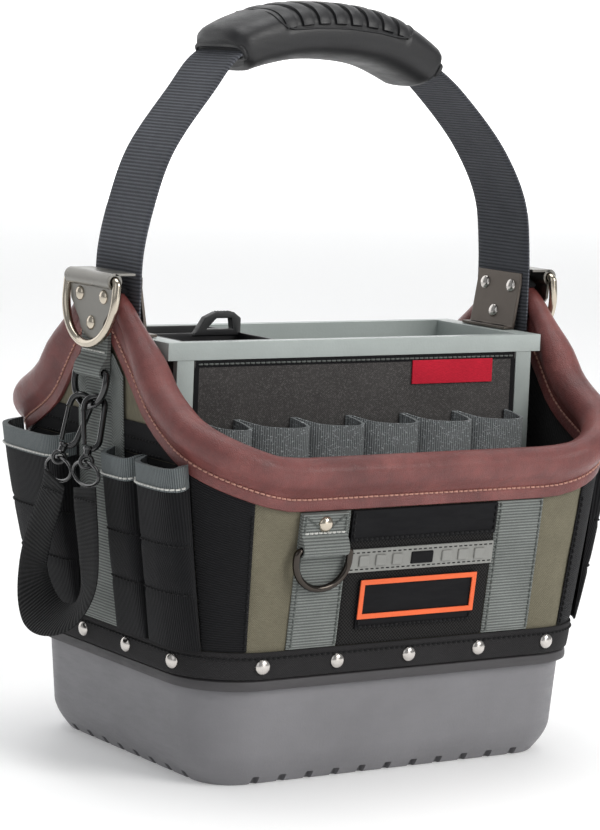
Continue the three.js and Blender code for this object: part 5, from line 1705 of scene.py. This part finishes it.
def make_grip():
    sides = 72
    rings = []
    shares = [0, 0.006, 0.018, 0.035, *[0.05 + 0.9 * k / 90 for k in range(91)], 0.965, 0.982, 0.994, 1]
    for along in shares:
        end = min(along, 1 - along)
        shrink = -3.2 * (1 - min(end / 0.03, 1)) ** 2
        ring = []
        for k in range(sides):
            turn = 2 * math.pi * k / sides
            lift = shrink + (grip_recess(along, turn) if turn < math.pi else 0)
            ring.append(grip_point(along, turn, lift))
        rings.append(ring)
    grip = loft("rubber_grip", rings, finish_of("grip"), angle=55)
    finished(grip, "bag", "grip", "handle_grip")
    ribs = []
    for k in range(8):
        middle = 0.235 + 0.53 * k / 7
        pad, low = [], []
        for wide in (-0.027, -0.024, -0.012, 0.012, 0.024, 0.027):
            rise = -1.9 if abs(wide) > 0.026 else 0.1 if abs(wide) > 0.02 else 0.5
            for grid, lift in ((pad, rise), (low, -2.4)):
                turns = [lerp(RECESS + 0.1, math.pi - RECESS - 0.1, j / 24) for j in range(25)]
                grid.append([grip_point(middle + wide, turn, lift) for turn in turns])
        ribs.append(sheet("rib", pad, low, finish_of("grip")))
    finished(joined("grip_ribs", ribs), "bag", "grip")
    edge = []
    for k in range(120):
        u, v = squared(2 * math.pi * k / 120, 0.25, 0.35)
        edge.append(grip_point(0.5 + 0.315 * u, math.pi / 2 + (math.pi / 2 - RECESS) * v, 0.0))
    finished(tube("grip_recess_edge", edge, 0.6, finish_of("grip"), loop=True, sides=8), "bag", "grip")
    collars = []
    for along in (0.004, 0.996):
        point, out, ahead = strap_at(lerp(GRIP_START, GRIP_END, along))
        path = []
        for k in range(48):
            u, v = squared(2 * math.pi * k / 48, 0.3, 0.6)
            path.append(point + Vector((0, u * 25.0, 0)) + out * v * 4.2)
        collars.append(tube("collar", path, 1.5, finish_of("grip"), loop=True, normal=ahead, sides=10))
    finished(joined("grip_collars", collars), "bag", "grip")


# The tray: frame, cloth panels, tool loops, red tab and the lift-out bin
def make_tray():
    moulding = softened("tray_frame", "tray_moulding", finish_of("tray"), 1.8)
    finished(moulding, "bag", "frame", "tray_frame")
    for side in ("front", "back", "left", "right"):
        node = f"tray_panel_{side}"
        panel = softened(node, f"tray_cloth_{side}", finish_of("tray_cloth"), 0.5)
        finished(panel, "bag", "trayCloth", node)
    rows = []
    for face, z in ((-47.2, 232.4), (46.9, 232.6), (-47.2, 44.5), (46.9, 44.5)):
        facing = (0, math.copysign(1, face), 0)
        rows.append(stitched(
            "row", [(-110, face, z), (110, face, z)], [facing] * 2, finish_of("thread_dark")))
    finished(joined("tray_panel_stitches", rows), "bag", "trayCloth")
    binding = [
        block("binding", (low, -47.2, foot), (high, -46.85, top), as_is, finish_of("panel"), 0.1)
        for low, high, foot, top in (
            (-111.2, 111.2, 42.2, 48), (-111.2, 111.2, 230.6, 234.3),
            (-112, -109, 48, 230.6), (109, 112, 48, 230.6))]
    finished(joined("tray_panel_binding", binding), "bag", "trayCloth")
    red = block("red_tab_face", (36.5, -48.2, 217.3), (94.5, -47.2, 231.3), as_is, finish_of("red"), 0.3)
    layer = red.data.uv_layers["UVMap"]
    for loop in red.data.loops:
        x, _, z = red.data.vertices[loop.vertex_index].co
        layer.data[loop.index].uv = (x, z)
    finished(red, "bag", "red", "red_tab")


LOOP_DEPTH = 14.5
LOOP_TALL = 38
LOOP_SHAPE = [(0, 0), (0.1, 0.3), (0.3, 0.72), (0.6, 0.94), (0.88, 1), (1.04, 0.88), (1.06, 0.5), (1.0, 0)]


def make_tool_loops():
    ends = [-83, -45, -7, 31, 69, 107]
    foot = 46.9 + SEAT + 0.9
    line = []
    for i, end in enumerate(ends):
        start = ends[i - 1] if i else -109.4
        corners = []
        for across, out in LOOP_SHAPE:
            slip = (0.5 - min(across, 1)) * 1.8 * 1.8 * (1 - out)
            corners.append((lerp(start, end, across) + slip, out * LOOP_DEPTH, 0))
        line += smooth_path(corners, 4)
    path = frames(line, normal=(0, 0, 1))
    grids = []
    for way in (0.9, -0.9):
        grid = []
        for point, across, _ in path:
            moved = point + across * way
            low = 200.5 - 4 * point.y / LOOP_DEPTH - LOOP_TALL
            grid.append([Vector((moved.x, -foot - moved.y, low + LOOP_TALL * k / 8)) for k in range(9)])
        grids.append(grid)
    loops = sheet("tray_tool_loops", grids[0], grids[1], finish_of("loops"))
    finished(loops, "bag", "loops", "tool_loops")
    rows = []
    for x in ends:
        path = [(x - 1, -foot - 1.3, z) for z in (163, 200)]
        rows.append(stitched("row", path, [(0, -1, 0)] * 2, finish_of("thread_dark")))
    finished(joined("tool_loop_stitches", rows), "bag", "loops")


def make_bin():
    box_piece = softened("parts_bin", "lift_out_bin", finish_of("bin"), 0.5)
    finished(box_piece, "bin", "bin", "parts_bin")
    rib = block("rib", (-0.45, -2.2, -0.2), (0.45, 2.2, 0.4), as_is, finish_of("bin"), 0.2)
    places = [((-70 + 2.1 * k, 0, 244.8 + 12), (0, 0, 1), (1, 0, 0)) for k in range(5)]
    finished(repeated("bin_loop_ribs", rib, places, finish_of("bin")), "bin", "bin")


# The stage: floor, lights and the camera at the photograph's angle
def make_stage():
    sizes = bpy.context.scene.tote_sizes
    for name, corners, roughness, shade, glow in (
        ("floor", [(-6, -6, 0), (6, -6, 0), (6, 6, 0), (-6, 6, 0)], 0.75, 0.88, 0.18),
        ("backdrop", [(-5, 7, -0.5), (9, 3, -0.5), (9, 3, 6), (-5, 7, 6)], 0.9, 0.8, 1.0),
    ):
        mesh = bpy.data.meshes.new(name)
        mesh.from_pydata(corners, [], [(0, 1, 2, 3)])
        pale = Finish(f"Pale {name.capitalize()}", roughness)
        pale.shader.inputs["Base Color"].default_value = (shade, shade, shade, 1)
        pale.shader.inputs["Emission Color"].default_value = (1, 1, 1, 1)
        pale.shader.inputs["Emission Strength"].default_value = glow
        mesh.materials.append(pale.material)
        added(name, mesh)
    for name, place, size, power, colour in (
        ("key", (1.1, -2.5, 1.8), 1.5, 50, (1, 0.99, 0.97)),
        ("fill", (-2.3, -0.9, 1.3), 1.8, 6, (0.96, 0.98, 1)),
        ("top", (0.1, 0.2, 2.6), 1.8, 34, (1, 1, 1)),
        ("low", (0.6, -2.6, 0.4), 1.2, 6, (1, 1, 1)),
    ):
        lamp = bpy.data.lights.new(name, "AREA")
        lamp.energy = power * sizes.light
        lamp.size = size
        lamp.color = colour
        thing = added(name, lamp)
        thing.location = place
        ahead = Vector((0, 0, 0.2)) - Vector(place)
        thing.rotation_euler = ahead.to_track_quat("-Z", "Y").to_euler()
    world = bpy.data.worlds.new("pale")
    world.use_nodes = True
    sky = world.node_tree.nodes["Background"]
    sky.inputs["Color"].default_value = (0.92, 0.94, 0.96, 1)
    sky.inputs["Strength"].default_value = 0.36
    bpy.context.scene.world = world
    bpy.context.scene.view_settings.view_transform = "Standard"

    yaw, tilt, roll = (math.radians(a) for a in (33.4045, 7.0728, 2.3468))
    ahead = Vector((math.sin(yaw) * math.cos(tilt), math.cos(yaw) * math.cos(tilt), -math.sin(tilt)))
    right = Vector((math.cos(yaw), -math.sin(yaw), 0))
    up = right.cross(ahead)
    side = right * math.cos(roll) + up * math.sin(roll)
    over = up * math.cos(roll) - right * math.sin(roll)
    lens = bpy.data.cameras.new("camera")
    lens.sensor_width = 36
    lens.lens = 3075.66 / 830 * 36
    lens.clip_start, lens.clip_end = 0.05, 50
    camera = added("camera", lens)
    turn = Matrix((side, over, -ahead)).transposed().to_4x4()
    camera.matrix_world = Matrix.Translation(Vector((-1.00188, -1.50511, 0.4183))) @ turn
    bpy.context.scene.camera = camera


# Settings and operators
def length(name, default, description):
    return bpy.props.FloatProperty(
        name=name, default=default, min=0.0001, unit="LENGTH", precision=4, description=description)


def paint(key, name):
    return bpy.props.FloatVectorProperty(
        name=name, default=linear(*COLOURS[key]), min=0, max=1, size=3, subtype="COLOR",
        description=f"Colour of the {name.lower()}")


class ToteSizes(bpy.types.PropertyGroup):
    """Sizes of the patterns and the strength of the light."""

    rib_pitch: length("Webbing rib", 0.0017, "Distance from one rib of the webbing to the next")
    weave_pitch: length("Canvas weave", 0.0013, "Distance from one yarn of the canvas to the next")
    stitch_pitch: length("Stitch", 0.0034, "Distance from one stitch to the next")
    light: bpy.props.FloatProperty(
        name="Light", default=1.0, min=0.0, max=5.0, subtype="FACTOR",
        description="Strength of the studio light")


class ToteColours(bpy.types.PropertyGroup):
    """Colours of the tote's materials."""


ToteColours.__annotations__ = {
    key: paint(key, key.replace("_", " ").capitalize()) for key in COLOURS
}


class TOTE_OT_stage(bpy.types.Operator):
    """Makes the floor, the lights and the camera"""

    bl_idname = "tote.stage"
    bl_label = "Stage"
    bl_options = {"REGISTER", "UNDO"}

    def execute(self, context):
        make_stage()
        return {"FINISHED"}


class TOTE_OT_tub(bpy.types.Operator):
    """Makes the moulded tub and its lip"""

    bl_idname = "tote.tub"
    bl_label = "Tub"
    bl_options = {"REGISTER", "UNDO"}

    def execute(self, context):
        make_tub()
        make_lip()
        return {"FINISHED"}


class TOTE_OT_body(bpy.types.Operator):
    """Makes the canvas body"""

    bl_idname = "tote.body"
    bl_label = "Body"
    bl_options = {"REGISTER", "UNDO"}

    def execute(self, context):
        make_body()
        return {"FINISHED"}


class TOTE_OT_rim(bpy.types.Operator):
    """Makes the rolled leather rim"""

    bl_idname = "tote.rim"
    bl_label = "Rim"
    bl_options = {"REGISTER", "UNDO"}

    def execute(self, context):
        make_rim()
        return {"FINISHED"}


class TOTE_OT_band(bpy.types.Operator):
    """Makes the band round the foot and its rivets"""

    bl_idname = "tote.band"
    bl_label = "Riveted Band"
    bl_options = {"REGISTER", "UNDO"}

    def execute(self, context):
        make_band()
        return {"FINISHED"}


class TOTE_OT_front(bpy.types.Operator):
    """Makes the front webbings and panels"""

    bl_idname = "tote.front"
    bl_label = "Front Cloth"
    bl_options = {"REGISTER", "UNDO"}

    def execute(self, context):
        make_front_cloth()
        return {"FINISHED"}


class TOTE_OT_labels(bpy.types.Operator):
    """Makes the bare labels and the rubber strip"""

    bl_idname = "tote.labels"
    bl_label = "Labels"
    bl_options = {"REGISTER", "UNDO"}

    def execute(self, context):
        make_labels()
        return {"FINISHED"}


class TOTE_OT_front_ring(bpy.types.Operator):
    """Makes the small ring on its tab"""

    bl_idname = "tote.front_ring"
    bl_label = "Front Ring"
    bl_options = {"REGISTER", "UNDO"}

    def execute(self, context):
        make_front_ring()
        return {"FINISHED"}


class TOTE_OT_sides(bpy.types.Operator):
    """Makes the side bands, webbing and pockets"""

    bl_idname = "tote.sides"
    bl_label = "Sides"
    bl_options = {"REGISTER", "UNDO"}

    def execute(self, context):
        make_side("left")
        make_side("right")
        return {"FINISHED"}


class TOTE_OT_ends(bpy.types.Operator):
    """Makes the plates and rings at the handle's ends"""

    bl_idname = "tote.ends"
    bl_label = "End Metal"
    bl_options = {"REGISTER", "UNDO"}

    def execute(self, context):
        make_end_metal("left")
        make_end_metal("right")
        return {"FINISHED"}


class TOTE_OT_hanging(bpy.types.Operator):
    """Makes the hooks, rings and loop at the left end"""

    bl_idname = "tote.hanging"
    bl_label = "Hanging Hooks"
    bl_options = {"REGISTER", "UNDO"}

    def execute(self, context):
        make_hanging()
        return {"FINISHED"}


class TOTE_OT_handle(bpy.types.Operator):
    """Makes the handle's webbing and grip"""

    bl_idname = "tote.handle"
    bl_label = "Handle"
    bl_options = {"REGISTER", "UNDO"}

    def execute(self, context):
        make_strap()
        make_grip()
        return {"FINISHED"}


class TOTE_OT_tray(bpy.types.Operator):
    """Makes the tray, its loops and its bin"""

    bl_idname = "tote.tray"
    bl_label = "Tray"
    bl_options = {"REGISTER", "UNDO"}

    def execute(self, context):
        make_tray()
        make_tool_loops()
        make_bin()
        return {"FINISHED"}


OPERATORS = (
    TOTE_OT_stage, TOTE_OT_tub, TOTE_OT_body, TOTE_OT_rim, TOTE_OT_band,
    TOTE_OT_front, TOTE_OT_labels, TOTE_OT_front_ring, TOTE_OT_sides, TOTE_OT_ends,
    TOTE_OT_hanging, TOTE_OT_handle, TOTE_OT_tray,
)


class TOTE_PT_panel(bpy.types.Panel):
    """Lists the tote's settings and pieces."""

    bl_label = "Tool Tote"
    bl_idname = "TOTE_PT_panel"
    bl_space_type = "VIEW_3D"
    bl_region_type = "UI"
    bl_category = "Tote"

    def draw(self, context):
        for group in (context.scene.tote_sizes, context.scene.tote_colours):
            for key in type(group).__annotations__:
                self.layout.prop(group, key)
        for item in OPERATORS:
            self.layout.operator(item.bl_idname)


CLASSES = (ToteSizes, ToteColours, *OPERATORS, TOTE_PT_panel)


def register():
    for item in CLASSES:
        bpy.utils.register_class(item)
    bpy.types.Scene.tote_sizes = bpy.props.PointerProperty(type=ToteSizes)
    bpy.types.Scene.tote_colours = bpy.props.PointerProperty(type=ToteColours)


def unregister():
    del bpy.types.Scene.tote_colours
    del bpy.types.Scene.tote_sizes
    for item in reversed(CLASSES):
        bpy.utils.unregister_class(item)


def main():
    register()
    for item in OPERATORS:
        getattr(bpy.ops.tote, item.bl_idname.split(".")[1])()


if __name__ == "__main__":
    main()
